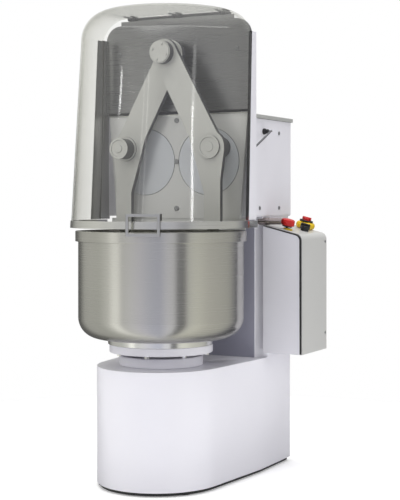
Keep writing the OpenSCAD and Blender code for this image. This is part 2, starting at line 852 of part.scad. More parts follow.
// A crank gear with lightening holes, for the side s of the middle.
module crank_gear(s, a) {
    difference() {
        translate([s * crank_x, gear_y + gear_w, crank_z]) rotate([90, 0, 0]) linear_extrude(height = gear_w)
            difference() {
                gear_outline(gear_teeth, a, 0.27, 0.13);
                circle(r = shaft_r + seat);
                for (i = [0 : 5]) rotate(i * 60 + 30) translate([gear_r * 0.66, 0]) circle(r = gear_r * 0.15);
            }
        rod_y(s * crank_x, crank_z, gear_r - 14, gear_y - 1, gear_y + 7);
    }
    difference() {
        rod_y(s * crank_x, crank_z, shaft_r + 14, gear_y, gear_y + gear_w);
        rod_y(s * crank_x, crank_z, shaft_r + seat, gear_y - 1, gear_y + gear_w + 1);
    }
}

module crank_left() {
    color("#c9c9c7") place() mirror([1, 0, 0]) crank_disc(front_y + 1);
}

module crank_right() {
    color("#c9c9c7") place() crank_disc(front_y + 1);
}

module crank_shaft_left() {
    color("#a4a6a8") place() mirror([1, 0, 0]) crank_shaft();
}

module crank_shaft_right() {
    color("#a4a6a8") place() crank_shaft();
}

module crank_gear_left() {
    color("#8a8278") place() crank_gear(-1, mesh_angle);
}

module crank_gear_right() {
    color("#8a8278") place() crank_gear(1, 180 - mesh_angle - 180 / gear_teeth);
}

// A pinion with the first of its teeth at angle a.
module pinion(x, a) {
    translate([x, gear_y + gear_w, pinion_z]) rotate([90, 0, 0])
        linear_extrude(height = gear_w) gear_outline(pinion_teeth, a, 0.25, 0.09);
}

module input_shaft() {
    color("#8a8278") place() {
        rod_y(-pinion_r, pinion_z, input_r, case_y1 - case_wall + 2, belt_y + belt_w + 4);
        pinion(-pinion_r, pinion_phase);
    }
}

module idler_gear() {
    color("#8a8278") place() {
        rod_y(pinion_r, pinion_z, input_r, case_y1 - case_wall + 2, case_back - 2);
        pinion(pinion_r, 180 - pinion_phase + 180 / pinion_teeth);
    }
}

// A belt pulley with a rim at each side of the belt.
module pulley(x, z, r, bore) {
    difference() {
        union() {
            rod_y(x, z, r, belt_y - 3, belt_y + belt_w + 3);
            rod_y(x, z, r + 3, belt_y - 4, belt_y - 1);
            rod_y(x, z, r + 3, belt_y + belt_w + 1, belt_y + belt_w + 4);
        }
        rod_y(x, z, bore, belt_y - 5, belt_y + belt_w + 5);
        difference() {
            rod_y(x, z, r * 0.84, belt_y - 5, belt_y + 5);
            rod_y(x, z, bore + 12, belt_y - 6, belt_y + 6);
        }
    }
}

module input_pulley() {
    color("#55585c") place() pulley(-pinion_r, pinion_z, input_pulley_r, input_r + seat);
}

module motor_pulley() {
    color("#55585c") place() {
        pulley(motor_x, motor_z, motor_pulley_r, 12 + seat);
        rod_y(motor_x, motor_z, 12 + seat, belt_y - 4, belt_y + belt_w + 11.7);
    }
}

// An arm's outline in X and Z about its crank pin, with x outwards.
module arm_profile() {
    eye = [-knee_x, top_z - knee_z];
    u = eye / norm(eye);
    n = [u.y, -u.x];
    low = shank_z - knee_z;
    translate(eye) circle(r = arm_half);
    circle(r = knee_r);
    polygon([
        eye + n * arm_half, u * web_rise + n * arm_half, [knee_r, 0], [knee_r - 0.5, -12], [shank_out, -shank_bend],
        [shank_out, low], [-shank_in, low], [-shank_in, -web_drop], u * web_rise - n * (arm_half + 3),
        eye - n * arm_half
    ]);
}

// The right-hand arm with its plate from y1 and its hub barrel from b1 to b2.
module arm(y1, b1, b2, eye_r) {
    low = shank_z - 1;
    w = shank_wall;
    difference() {
        union() {
            slab(y1, y1 + arm_d) translate([knee_x, knee_z]) arm_profile();
            rod_y(knee_x, knee_z, barrel_r, b1, b2);
        }
        rod_y(knee_x, knee_z, pin_r + run, front_y - 1, arm_back + 1);
        rod_y(0, top_z, eye_r, y1 - 1, y1 + arm_d + 1);
        block([knee_x - shank_in + w, y1 + w, low], [knee_x + shank_out - w, y1 + arm_d - w, shank_z + socket_l]);
    }
}

// A hand: a spigot in the hollow arm, a straight bar and a bend towards the middle with a round tip.
module hand(y1) {
    x = knee_x + (shank_out - shank_in) / 2;
    y = y1 + arm_d / 2;
    w = shank_wall + seat;
    block([knee_x - shank_in + w, y1 + w, shank_z], [knee_x + shank_out - w, y1 + arm_d - w, shank_z + socket_l - 5]);
    block([knee_x - shank_in, y1, shank_z - 12], [knee_x + shank_out, y1 + arm_d, shank_z]);
    translate([x, y, hand_z]) cylinder(r = hand_r, h = shank_z - 40 - hand_z);
    translate([x, y, shank_z - 40]) cylinder(r1 = hand_r, r2 = 21, h = 28);
    translate([x - hand_bend, y, hand_z]) rotate([-90, 0, 0]) rotate_extrude(angle = hand_turn)
        translate([hand_bend, 0]) circle(r = hand_r);
    translate([x - hand_bend + hand_bend * cos(hand_turn), y, hand_z - hand_bend * sin(hand_turn)])
        rotate([0, 180 + hand_turn, 0]) translate([0, 0, -1]) cylinder(r1 = hand_r - 0.5, r2 = hand_r - 8, h = 13);
}

// A round cap over a crank pin's end.
module knee_cap(r) {
    difference() {
        rod_y(knee_x, knee_z, r, front_y - cap_t, front_y);
        difference() {
            rod_y(knee_x, knee_z, r - 8, front_y - cap_t - 1, front_y - cap_t + 2);
            rod_y(knee_x, knee_z, r - 24, front_y - cap_t - 2, front_y - cap_t + 3);
        }
    }
}

module arm_right() {
    color("#a5a79f") place() arm(front_y, front_y, arm_back, pin_r);
}

module arm_left() {
    color("#a5a79f") place() mirror([1, 0, 0]) difference() {
        union() {
            arm(rear_arm_y, front_y, arm_back, pin_r + 4);
            difference() {
                rod_y(knee_x, knee_z, barrel_r + 7, rear_arm_y - 4, rear_arm_y);
                rod_y(knee_x, knee_z, pin_r + run, rear_arm_y - 5, rear_arm_y + 1);
            }
        }
    }
}

module knee_cap_right() {
    color("#a5a79f") place() knee_cap(cap_r);
}

module knee_cap_left() {
    color("#a5a79f") place() mirror([1, 0, 0]) knee_cap(barrel_r + 1);
}

module hand_right() {
    color("#b9bab9") place() hand(front_y);
}

module hand_left() {
    color("#b9bab9") place() mirror([1, 0, 0]) hand(rear_arm_y);
}

module top_pin() {
    color("#a5a79f") place() {
        rod_y(0, top_z, pin_r - seat, front_y, front_y + arm_d);
        rod_y(0, top_z, barrel_r - 7, front_y + arm_d, rear_arm_y - 1);
        rod_y(0, top_z, cap_r, front_y - top_cap_t + 3, front_y);
        rod_y(0, top_z, cap_r - 3, front_y - top_cap_t, front_y - top_cap_t + 3);
        for (i = [0 : 3]) translate([0, front_y - top_cap_t, top_z]) rotate([0, i * 90 + 20, 0])
            translate([cap_r - 12, 0, 0]) rotate([90, 0, 0]) cylinder(r = 4, h = 2.5);
    }
}

// The bowl's section: outer wall, rounded corner and flat bottom, drawn in by t.
module bowl_section(t) {
    r = bowl_r - t;
    c = bowl_corner - t;
    difference() {
        union() {
            translate([0, bowl_corner]) square([r, bowl_h - bowl_corner]);
            translate([0, t]) square([bowl_r - bowl_corner, bowl_corner]);
            translate([bowl_r - bowl_corner, bowl_corner]) circle(r = c);
        }
        translate([-bowl_corner * 2, -1]) square([bowl_corner * 2, bowl_h + 2]);
    }
}

module bowl() {
    color("#c6c7c8") place() translate([0, 0, bowl_z]) {
        difference() {
            rotate_extrude() bowl_section(0);
            translate([0, 0, 0.001]) rotate_extrude() bowl_section(bowl_t);
            translate([0, 0, bowl_h - 2]) cylinder(r = bowl_r - bowl_t, h = 4);
        }
        difference() {
            translate([0, 0, bowl_h - rim_h]) cylinder(r = rim_r, h = rim_h);
            translate([0, 0, bowl_h - rim_h - 1]) cylinder(r = bowl_r - 1, h = rim_h + 2);
        }
        translate([0, 0, bowl_t]) cylinder(r1 = 50, r2 = 34, h = 18);
    }
}

module bowl_ring() {
    color("#b0b1b2") place() translate([0, 0, ring_z]) difference() {
        cylinder(r = ring_r, h = ring_h);
        translate([0, 0, -1]) cylinder(r = ring_r - 16, h = ring_h + 2);
    }
}

module drive_flange() {
    color("#e6e5ea") place() {
        translate([0, 0, flange_z]) cylinder(r = flange_r, h = flange_h);
        translate([0, 0, hub_top + 1]) cylinder(r = bowl_shaft_r + 8, h = hub_gap - 1);
        translate([0, 0, hub_low - 110]) cylinder(r = bowl_shaft_r, h = hub_top + 1 - hub_low + 110);
    }
}

module flange_bolts() {
    color("#8b8d90") place() for (i = [0 : bolt_count - 1]) {
        rotate(i * 360 / bolt_count + 12) translate([(flange_r + hub_r) / 2, 0, flange_z - 8]) cylinder(r = 9, h = 8, $fn = 6);
    }
}

// Keeps what lies above height z.
module above(z) {
    intersection() {
        children();
        block([-far, -far, z], [far, far, z + far]);
    }
}

// A solid of the guard's outer form, drawn in by t, that ends at its rear edge.
module guard_form(t, rear) {
    difference() {
        hull() {
            translate([0, -crown_y * 60 / guard_rise, guard_z - 60])
                cylinder(r = guard_r - t + 60 * tan(guard_draft), h = 1);
            translate([0, crown_y, guard_z + guard_rise]) rotate_extrude() translate([crown_r, 0]) intersection() {
                circle(r = guard_round - t, $fn = 48);
                square(guard_round);
            }
        }
        behind(rear);
    }
}

module guard() {
    color([0.75, 0.78, 0.8, 0.45]) place() above(guard_z) difference() {
        guard_form(0, guard_rear);
        guard_form(guard_t, guard_rear + 1);
    }
}

module guard_rim() {
    color("#b6b8b9") place() intersection() {
        difference() {
            union() {
                guard_form(-band_t, guard_rear);
                both_sides() block([cheek_w + 1, guard_rear - 17, guard_z - 1],
                                   [cheek_w + band_t + 2, guard_rear + band_tail, guard_z + band_h + 1]);
            }
            guard_form(0, guard_rear + 1);
        }
        block([-far, -far, guard_z], [far, far, guard_z + band_h]);
    }
}

module guard_handle() {
    w = handle_w / 2;
    b = handle_bar;
    z2 = guard_z + band_h + 26;
    z1 = z2 - handle_h;
    y = -handle_r;
    color("#b6b8b9") place() rotate(handle_turn) difference() {
        union() {
            difference() {
                block([-w, y - b / 2, z1], [w, y + b / 2, z2]);
                block([-w + b, y - b, z1 + b], [w - b, y + b, z2 - b]);
            }
            both_sides() block([w - b, y, guard_z + band_h + 3], [w, -guard_r + 24, z2]);
        }
        rotate(-handle_turn) guard_form(-0.3, 300);
    }
}

module hinge_leaf() {
    color("#2a2b2d") place() {
        rod_x(hinge_y, hinge_z, rod_r, -leaf_w, leaf_w);
        for (x = [-block_x, 0, block_x], s = [-1, 1]) {
            x1 = x + s * (block_half + 1 + strap_w / 2);
            block([x1 - strap_w / 2, hinge_y - 38, guard_top], [x1 + strap_w / 2, hinge_y, guard_top + 4]);
            rod_x(hinge_y, hinge_z, knuckle_r, x1 - strap_w / 2, x1 + strap_w / 2);
        }
    }
}

base_housing();
base_floor();
levelling_feet();
bowl_hub();
bowl_bearings();
bowl_gearmotor();
column_housing();
head_housing();
head_lid();
rear_panel();
side_panels();
panel_screws();
front_plate();
gearbox_case();
crank_bearings();
input_bearings();
back_panel();
cheeks();
guard_seals();
hinge_blocks();
motor();
drive_belt();
cable_gland();
sensor_lead();
mains_gland();
box_body();
box_front();
box_gasket();
box_cover();
estop_ring();
selector_base();
switch_plate();
crank_left();
crank_shaft_left();
crank_gear_left();
crank_right();
crank_shaft_right();
crank_gear_right();
arm_left();
knee_cap_left();
hand_left();
arm_right();
knee_cap_right();
hand_right();
top_pin();
bowl();
bowl_ring();
drive_flange();
flange_bolts();
guard();
guard_rim();
guard_handle();
hinge_leaf();
motor_pulley();
input_shaft();
input_pulley();
idler_gear();
estop_button();
selector_knob();
switch_handle();
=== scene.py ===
"""Looks of a free-standing twin-arm dough mixer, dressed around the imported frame."""
import logging
import math
from dataclasses import dataclass
from enum import Enum
from typing import Callable, Sequence

import bmesh
import bpy
from bpy.types import Collection, Material, Mesh, Node, NodeSocket, NodeTree, Object
from mathutils import Matrix, Vector
from mathutils.geometry import convex_hull_2d


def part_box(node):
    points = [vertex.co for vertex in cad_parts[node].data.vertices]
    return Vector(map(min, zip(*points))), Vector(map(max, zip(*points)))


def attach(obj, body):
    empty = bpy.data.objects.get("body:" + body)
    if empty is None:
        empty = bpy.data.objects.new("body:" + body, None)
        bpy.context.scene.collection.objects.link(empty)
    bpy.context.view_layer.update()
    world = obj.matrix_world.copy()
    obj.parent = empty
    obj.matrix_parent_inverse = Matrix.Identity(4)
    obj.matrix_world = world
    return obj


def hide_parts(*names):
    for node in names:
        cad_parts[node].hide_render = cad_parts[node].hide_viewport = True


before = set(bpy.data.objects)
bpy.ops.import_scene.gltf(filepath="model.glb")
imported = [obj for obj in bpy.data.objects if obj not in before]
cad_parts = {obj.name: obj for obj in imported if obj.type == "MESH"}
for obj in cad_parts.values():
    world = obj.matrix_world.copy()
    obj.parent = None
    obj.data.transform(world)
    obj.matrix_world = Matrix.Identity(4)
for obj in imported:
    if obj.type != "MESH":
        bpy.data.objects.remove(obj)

LOG = logging.getLogger("dough_mixer")
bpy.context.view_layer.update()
MM = 0.001
CREASE = math.radians(32)  # An edge that bends by more than this stays crisp.
FLAT = math.radians(0.4)  # Faces that bend by less than this are taken as one.
WELD = 2e-6  # Corners that lie nearer than this, in metres, are taken as one.
HEAD_ON = 0.99  # A face looks straight ahead when so much of its normal points there.
BAR_ROUNDING = 0.22  # How far a grip bar's edges are rounded, as a share of its width.
BOWL_LOW, BOWL_HIGH = (Vector(corner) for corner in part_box("bowl"))
AXIS_X = (BOWL_LOW.x + BOWL_HIGH.x) / 2
AXIS_Y = (BOWL_LOW.y + BOWL_HIGH.y) / 2
Pair = tuple[float, float]
Triple = tuple[float, float, float]
Profile = Sequence[Pair]


class Body(Enum):
    """The bodies that carry new pieces, by their names in the frame."""

    MACHINE = "machine"
    CRANK_LEFT = "crank_left_body"
    CRANK_RIGHT = "crank_right_body"
    ARM_LEFT = "arm_left_body"
    ARM_RIGHT = "arm_right_body"
    BOWL = "bowl_body"
    GUARD = "guard_body"
    ESTOP = "estop_body"
    SELECTOR = "selector_body"
    SWITCH = "switch_body"


class Grain(Enum):
    """The way the polishing lines run: how often they change in a metre of X, Y and Z."""

    ALONG_X = (3.0, 520.0, 520.0)
    ALONG_Y = (520.0, 3.0, 520.0)
    AROUND = (2.5, 2.5, 650.0)


def place(x: float, y: float, z: float) -> Vector:
    """Turns a point about the bowl's axis into the frame.

    Args:
        x: Millimetres to the right of the bowl's axis.
        y: Millimetres behind the bowl's axis.
        z: Millimetres above the floor.

    Returns:
        The point in metres in the shared frame.
    """
    return Vector((AXIS_X + x * MM, AXIS_Y + y * MM, z * MM))


def linear(hex_colour: str) -> tuple[float, float, float, float]:
    """Turns an sRGB hex colour into Blender's linear colour.

    Args:
        hex_colour: Six hex digits, with or without a leading hash.

    Returns:
        Red, green, blue and an alpha of one.
    """
    digits = hex_colour.lstrip("#")
    channels = [int(digits[i:i + 2], 16) / 255 for i in (0, 2, 4)]
    flat = [c / 12.92 if c <= 0.04045 else ((c + 0.055) / 1.055) ** 2.4 for c in channels]
    return (flat[0], flat[1], flat[2], 1.0)


def add_node(tree: NodeTree, kind: str, settings: dict | None = None, links: dict | None = None) -> Node:
    """Adds one shader node with its settings and the links into it.

    Args:
        tree: The material's node tree.
        kind: Blender's name of the node type, without its ShaderNode.
        settings: Attributes of the node, or default values of its input sockets.
        links: Input socket to the output socket that feeds it.

    Returns:
        The new node.
    """
    node = tree.nodes.new(f"ShaderNode{kind}")
    for name, value in (settings or {}).items():
        if isinstance(name, str) and hasattr(node, name):
            setattr(node, name, value)
        else:
            node.inputs[name].default_value = value
    for name, source in (links or {}).items():
        tree.links.new(source, node.inputs[name])
    return node


def empty_material(name: str) -> tuple[Material, NodeTree, Node]:
    """Makes a material that holds only an output node.

    Args:
        name: The finish's name.

    Returns:
        The material, its node tree and its output node.
    """
    material = bpy.data.materials.new(name)
    material.use_nodes = True
    tree = material.node_tree
    tree.nodes.clear()
    return material, tree, add_node(tree, "OutputMaterial")


def opaque(tree: NodeTree, output: Node, tones: tuple[str, str, NodeSocket],
           gloss: tuple[float, Pair, NodeSocket], relief: tuple[float, float, NodeSocket],
           settings: dict) -> None:
    """Ends a finish with what every opaque one has: mixed tones, an uneven gloss and a relief.

    Args:
        tree: The material's node tree.
        output: Its output node.
        tones: Two hex colours, and the pattern that mixes them.
        gloss: The roughness, how far it drifts, and the pattern that it follows.
        relief: Strength and depth in metres, and the pattern that it follows.
        settings: What else the surface needs.
    """
    first, second, pattern = tones
    colour = add_node(tree, "Mix", {"data_type": "RGBA", 6: linear(first), 7: linear(second)},
                      {0: pattern})
    roughness, (less, more), pattern = gloss
    rough = add_node(tree, "MapRange", {"To Min": roughness + less, "To Max": roughness + more},
                     {"Value": pattern})
    strength, depth, pattern = relief
    bump = add_node(tree, "Bump", {"Strength": strength, "Distance": depth}, {"Height": pattern})
    surface = add_node(tree, "BsdfPrincipled", settings,
                       {"Base Color": colour.outputs[2], "Normal": bump.outputs["Normal"],
                        "Roughness": rough.outputs["Result"]})
    tree.links.new(surface.outputs["BSDF"], output.inputs["Surface"])


@dataclass(frozen=True)
class PowderCoat:
    """Polyester powder coat baked on sheet steel: a satin skin with a faint orange peel."""

    name: str
    colour: str
    shade: str
    roughness: float = 0.38
    peel_mm: float = 3.0
    peel_depth: float = 0.06
    peel_height_m: float = 0.0006
    gloss_drift: Pair = (-0.05, 0.06)

    def build(self) -> Material:
        """Makes the coat: its colour drifts a little, and its peel breaks up the highlights.

        Returns:
            The material.
        """
        material, tree, output = empty_material(self.name)
        spot = add_node(tree, "TexCoord").outputs["Object"]
        drift = add_node(tree, "TexNoise", {"Scale": 3.0, "Detail": 2.0}, {"Vector": spot}).outputs["Fac"]
        # The peel of a real coat is 1 to 2 mm wide, and is drawn wider so that it shows.
        peel = add_node(tree, "TexNoise", {"Scale": 1000 / self.peel_mm, "Detail": 1.0}, {"Vector": spot})
        opaque(tree, output, (self.colour, self.shade, drift),
               (self.roughness, self.gloss_drift, drift),
               (self.peel_depth, self.peel_height_m, peel.outputs["Fac"]),
               {"IOR": 1.5, "Coat Weight": 0.12, "Coat Roughness": 0.2})
        return material


@dataclass(frozen=True)
class BrushedSteel:
    """Stainless sheet brushed with a belt: fine parallel lines that stretch the highlights."""

    name: str
    colour: str
    shade: str
    grain: Grain
    roughness: float = 0.3
    anisotropy: float = 0.0
    line_depth: float = 0.05
    line_height_m: float = 0.0004
    gloss_drift: Pair = (-0.07, 0.09)

    def build(self) -> Material:
        """Makes the steel: lines along the grain, and a slow drift of tone from the polisher's passes.

        Returns:
            The material.
        """
        material, tree, output = empty_material(self.name)
        spot = add_node(tree, "TexCoord").outputs["Object"]
        # Real lines are about 0.1 mm apart, and are drawn about 2 mm apart so that they show.
        stretch = add_node(tree, "Mapping", {"Scale": self.grain.value}, {"Vector": spot})
        lines = add_node(tree, "TexNoise", {"Scale": 1.0, "Detail": 3.0, "Roughness": 0.6},
                         {"Vector": stretch.outputs["Vector"]}).outputs["Fac"]
        drift = add_node(tree, "TexNoise", {"Scale": 2.5, "Detail": 1.0}, {"Vector": spot})
        tone = add_node(tree, "Math", {"operation": "MULTIPLY_ADD", 1: 0.55},
                        {0: lines, 2: drift.outputs["Fac"]})
        blend = add_node(tree, "MapRange", {"From Min": 0.35, "From Max": 1.25},
                         {"Value": tone.outputs[0]})
        # A quarter turn lays the stretch across the lines that run round the bowl's axis.
        opaque(tree, output, (self.shade, self.colour, blend.outputs["Result"]),
               (self.roughness, self.gloss_drift, lines), (self.line_depth, self.line_height_m, lines),
               {"Metallic": 1.0, "Anisotropic": self.anisotropy, "Anisotropic Rotation": 0.25})
        return material


@dataclass(frozen=True)
class MouldedPlastic:
    """ABS, polyamide or rubber from a mould: an even colour with a fine spark-eroded grain."""

    name: str
    colour: str
    shade: str
    roughness: float = 0.45
    grain_mm: float = 0.8
    grain_depth: float = 0.15
    grain_height_m: float = 0.0002
    gloss_drift: Pair = (-0.08, 0.08)

    def build(self) -> Material:
        """Makes the plastic: its grain softens the gloss, and handling leaves the gloss uneven.

        Returns:
            The material.
        """
        material, tree, output = empty_material(self.name)
        spot = add_node(tree, "TexCoord").outputs["Object"]
        # A spark-eroded grain is about 0.1 mm wide, and is drawn wider so that it shows.
        grain = add_node(tree, "TexNoise", {"Scale": 1000 / self.grain_mm, "Detail": 2.0},
                         {"Vector": spot})
        smear = add_node(tree, "TexNoise", {"Scale": 40.0, "Detail": 2.0}, {"Vector": spot}).outputs["Fac"]
        opaque(tree, output, (self.colour, self.shade, smear),
               (self.roughness, self.gloss_drift, smear),
               (self.grain_depth, self.grain_height_m, grain.outputs["Fac"]), {"IOR": 1.52})
        return material


@dataclass(frozen=True)
class ClearSheet:
    """Thermoformed polycarbonate: clear and glossy, greyer where the eye looks along the sheet."""

    name: str
    face_tint: str
    edge_tint: str
    gloss: float = 0.08
    mirror_face: float = 0.06
    mirror_edge: float = 0.6

    def build(self) -> Material:
        """Makes the sheet: light goes straight through, and forming waves bend its gloss a little.

        Returns:
            The material.
        """
        material, tree, output = empty_material(self.name)
        coords = add_node(tree, "TexCoord")
        waves = add_node(tree, "TexNoise", {"Scale": 5.0, "Detail": 0.0},
                         {"Vector": coords.outputs["Object"]})
        bump = add_node(tree, "Bump", {"Strength": 0.3, "Distance": 0.006},
                        {"Height": waves.outputs["Fac"]})
        slant = add_node(tree, "LayerWeight", {"Blend": 0.5})
        steep = add_node(tree, "Math", {"operation": "POWER", 1: 3.0}, {0: slant.outputs["Facing"]})
        tint = add_node(tree, "Mix",
                        {"data_type": "RGBA", 6: linear(self.face_tint), 7: linear(self.edge_tint)},
                        {0: steep.outputs[0]})
        passed = add_node(tree, "BsdfTransparent", None, {"Color": tint.outputs[2]})
        gloss = add_node(tree, "BsdfGlossy",
                         {"Roughness": self.gloss, "Color": (1.0, 1.0, 1.0, 1.0)},
                         {"Normal": bump.outputs["Normal"]})
        # The sheet mirrors a twentieth of the light head on, and most of it along the sheet.
        grazing = add_node(tree, "Math", {"operation": "POWER", 1: 5.0}, {0: slant.outputs["Facing"]})
        mirrored = add_node(tree, "MapRange",
                            {"To Min": self.mirror_face, "To Max": self.mirror_edge},
                            {"Value": grazing.outputs[0]})
        sheet = add_node(tree, "MixShader", None,
                         {0: mirrored.outputs["Result"], 1: passed.outputs["BSDF"],
                          2: gloss.outputs["BSDF"]})
        tree.links.new(sheet.outputs["Shader"], output.inputs["Surface"])
        return material


class Palette:
    """Every finish on the mixer, built once."""

    def __init__(self) -> None:
        """Builds all finishes."""
        # Enamels and baked coats: flat colour with a soft sheen, which shows the bends of the sheet.
        self.white_coat = PowderCoat("white_powder_coat", "#EDECF2", "#E4E3EA").build()
        self.plate_coat = PowderCoat("plate_grey_enamel", "#E8E8E5", "#DDDDDB", roughness=0.3).build()
        self.disc_coat = PowderCoat("disc_grey_enamel", "#E3E6EA", "#D9DCE1", roughness=0.28).build()
        # Painted shade: a blue grey coat on the column's front beside and behind the bowl, where the
        # bowl's shade falls.
        self.column_front_painted_shade = PowderCoat("column_front_shade_coat", "#A8A8B8", "#A0A0AF").build()
        self.lid_coat = PowderCoat("lid_grey_powder_coat", "#B4B5B2", "#A9AAA8").build()
        self.cover_coat = PowderCoat("pale_grey_powder_coat", "#CACAC7", "#C1C1BF").build()
        self.arm_paint = PowderCoat("arm_grey_enamel", "#CFCFCA", "#C4C4BF", roughness=0.32,
                                    peel_mm=4.0).build()
        # Painted shade: a near-black coat on the sideways flanks of the arms, knee caps, crank discs and
        # top pin, where shade falls, so that they read as shadow.
        self.flank_painted_shade = PowderCoat("flank_painted_shade_coat", "#4A4A4B", "#3C3C3E", roughness=0.45,
                                       peel_mm=2.0).build()
        # Primer over a cast skin: blue grey, with a coarse relief that scatters the highlights.
        self.cast_iron = PowderCoat("primed_cast_iron", "#5C646C", "#4C5359", roughness=0.55,
                                    peel_mm=5.0, peel_depth=0.3).build()
        # Brushed and polished steel: grey mirrors of the room, blurred across their grain.
        self.bowl_steel = BrushedSteel("lathe_brushed_stainless", "#D2D1CB", "#BFBEB8", Grain.AROUND,
                                       0.24, 0.75, 0.02).build()
        self.dark_steel = BrushedSteel("dark_brushed_stainless", "#A3A3A4", "#9D9D9E", Grain.ALONG_X,
                                       0.28, line_depth=0.006).build()
        self.bright_steel = BrushedSteel("polished_stainless", "#F2F2EE", "#DEDEDA", Grain.AROUND,
                                         0.2, 0.5, 0.02).build()
        self.handle_steel = BrushedSteel("hand_polished_stainless", "#CDCDC9", "#B8B8B4",
                                         Grain.ALONG_X, 0.32).build()
        self.chrome = BrushedSteel("chromed_steel", "#BDB2AE", "#A79D9A", Grain.ALONG_X, 0.16,
                                   line_depth=0.01).build()
        # Machined steel: darker, and warm where a film of oil lies on it.
        self.turned_steel = BrushedSteel("turned_steel", "#A9AAAB", "#8E8F90", Grain.ALONG_Y,
                                         0.3).build()
        self.oiled_steel = BrushedSteel("oiled_gear_steel", "#8C857B", "#6B655C", Grain.ALONG_Y,
                                        0.28).build()
        # Rubber and plastics: full colour with a broad, weak gloss.
        self.rubber = MouldedPlastic("black_rubber", "#18181A", "#222224", 0.6, 1.5, 0.3).build()
        self.black_abs = MouldedPlastic("black_polyamide", "#161618", "#202022", 0.4).build()
        self.grey_pvc = MouldedPlastic("grey_cable_jacket", "#6C6D70", "#5E5F62", 0.45).build()
        self.yellow_abs = MouldedPlastic("yellow_abs", "#F2CE1B", "#E6BE12", 0.35).build()
        self.red_abs = MouldedPlastic("red_abs", "#D4231F", "#BE1B1A", 0.28).build()
        # The dyed oxide on aluminium is glassy, not metallic, so it looks like a hard plastic.
        self.anodised = MouldedPlastic("black_anodised_aluminium", "#2C2D2F", "#242527", 0.35, 1.2,
                                       0.1).build()
        # The guard is seen by its glints and by its darker rim.
        self.clear = ClearSheet("clear_polycarbonate", "#FBFBFA", "#EBEBE7").build()


def new_object(name: str, mesh: Mesh, material: Material) -> Object:
    """Puts a mesh in the scene with one material.

    Args:
        name: The object's plain name.
        mesh: Its mesh.
        material: Its finish.

    Returns:
        The new object.
    """
    mesh.materials.clear()
    mesh.materials.append(material)
    piece = bpy.data.objects.new(name, mesh)
    bpy.context.scene.collection.objects.link(piece)
    return piece


def smooth_by_angle(mesh: Mesh) -> None:
    """Shades a mesh smooth, with its sharper edges kept crisp."""
    mesh.shade_smooth()
    mesh.set_sharp_from_angle(angle=CREASE)


def stand_for(piece: Object, node: str, body: Body) -> None:
    """Lets a piece take a node's place, and reports it.

    Args:
        piece: The piece that is shown.
        node: The node that it hides.
        body: The body that carries it.
    """
    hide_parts(node)
    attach(piece, body.value)
    LOG.info("%s: %s", node, piece.data.materials[0].name)


def add_trim(name: str, mesh: Mesh, material: Material) -> None:
    """Adds a small piece of trim that the frame has no node for, fixed to the machine.

    Args:
        name: The trim's name.
        mesh: Its mesh, in its place.
        material: Its finish.
    """
    smooth_by_angle(mesh)
    piece = new_object(name, mesh, material)
    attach(piece, Body.MACHINE.value)
    LOG.info("%s: %s", name, material.name)


def lathed(profile: Profile, steps: int = 40) -> Mesh:
    """Turns a profile round the Z axis.

    Args:
        profile: Points of radius and height in millimetres, from the axis back to the axis.
        steps: Faces round the axis.

    Returns:
        A closed mesh in metres.
    """
    work = bmesh.new()
    points = [work.verts.new((radius * MM, 0, height * MM)) for radius, height in profile]
    edges = [work.edges.new(pair) for pair in zip(points, points[1:])]
    bmesh.ops.spin(work, geom=points + edges, axis=(0, 0, 1), cent=(0, 0, 0), steps=steps, angle=math.tau)
    bmesh.ops.remove_doubles(work, verts=work.verts, dist=WELD)
    bmesh.ops.recalc_face_normals(work, faces=work.faces)
    return to_mesh(work, "lathed")


def to_mesh(work: bmesh.types.BMesh, name: str) -> Mesh:
    """Turns a finished bmesh into a mesh, and frees it.

    Args:
        work: The bmesh.
        name: The mesh's name.

    Returns:
        The mesh.
    """
    mesh = bpy.data.meshes.new(name)
    work.to_mesh(mesh)
    work.free()
    return mesh


def circle(radius: float, steps: int) -> list[Pair]:
    """Draws the points of a circle about the origin."""
    turns = [math.tau * step / steps for step in range(steps)]
    return [(radius * math.cos(turn), radius * math.sin(turn)) for turn in turns]


def drawn_out(profile: Profile, left: float, right: float) -> Mesh:
    """Draws a closed profile out along X.

    Args:
        profile: Points of Y and Z in millimetres about the bowl's axis, in order.
        left: Where the run starts in X, in millimetres.
        right: Where it ends.

    Returns:
        A closed mesh in metres.
    """
    work = bmesh.new()
    ends = [[work.verts.new(place(x, y, z)) for y, z in profile] for x in (left, right)]
    for index in range(len(profile)):
        after = (index + 1) % len(profile)
        work.faces.new((ends[0][index], ends[0][after], ends[1][after], ends[1][index]))
    work.faces.new(ends[0])
    work.faces.new(list(reversed(ends[1])))
    bmesh.ops.recalc_face_normals(work, faces=work.faces)
    return to_mesh(work, "drawn_out")


def add_bar(mesh: Mesh, size: Triple, lift: float) -> None:
    """Stands a bar with broken edges on a turned piece.

    Args:
        mesh: The turned piece.
        size: Length, width and height of the bar in millimetres.
        lift: Height of its foot in millimetres.
    """
    work = bmesh.new()
    work.from_mesh(mesh)
    length, width, height = (side * MM for side in size)
    bar = bmesh.ops.create_cube(work, size=1.0)["verts"]
    bmesh.ops.scale(work, vec=(length, width, height), verts=bar)
    bmesh.ops.translate(work, vec=(0, 0, lift * MM + height / 2), verts=bar)
    edges = list({edge for corner in bar for edge in corner.link_edges})
    bmesh.ops.bevel(work, geom=edges, offset=width * BAR_ROUNDING, segments=3, profile=0.5,
                    affect="EDGES")
    work.to_mesh(mesh)
    work.free()


@dataclass(frozen=True)
class Accent:
    """A second finish on the faces of a piece that pass a test of their centre and normal."""

    material: Material
    holds: Callable[[Vector, Vector], bool]


def faces_sideways(centre: Vector, normal: Vector) -> bool:
    """Tells whether a face is turned more than 60 degrees from straight ahead and straight back."""
    return abs(normal.y) < 0.5


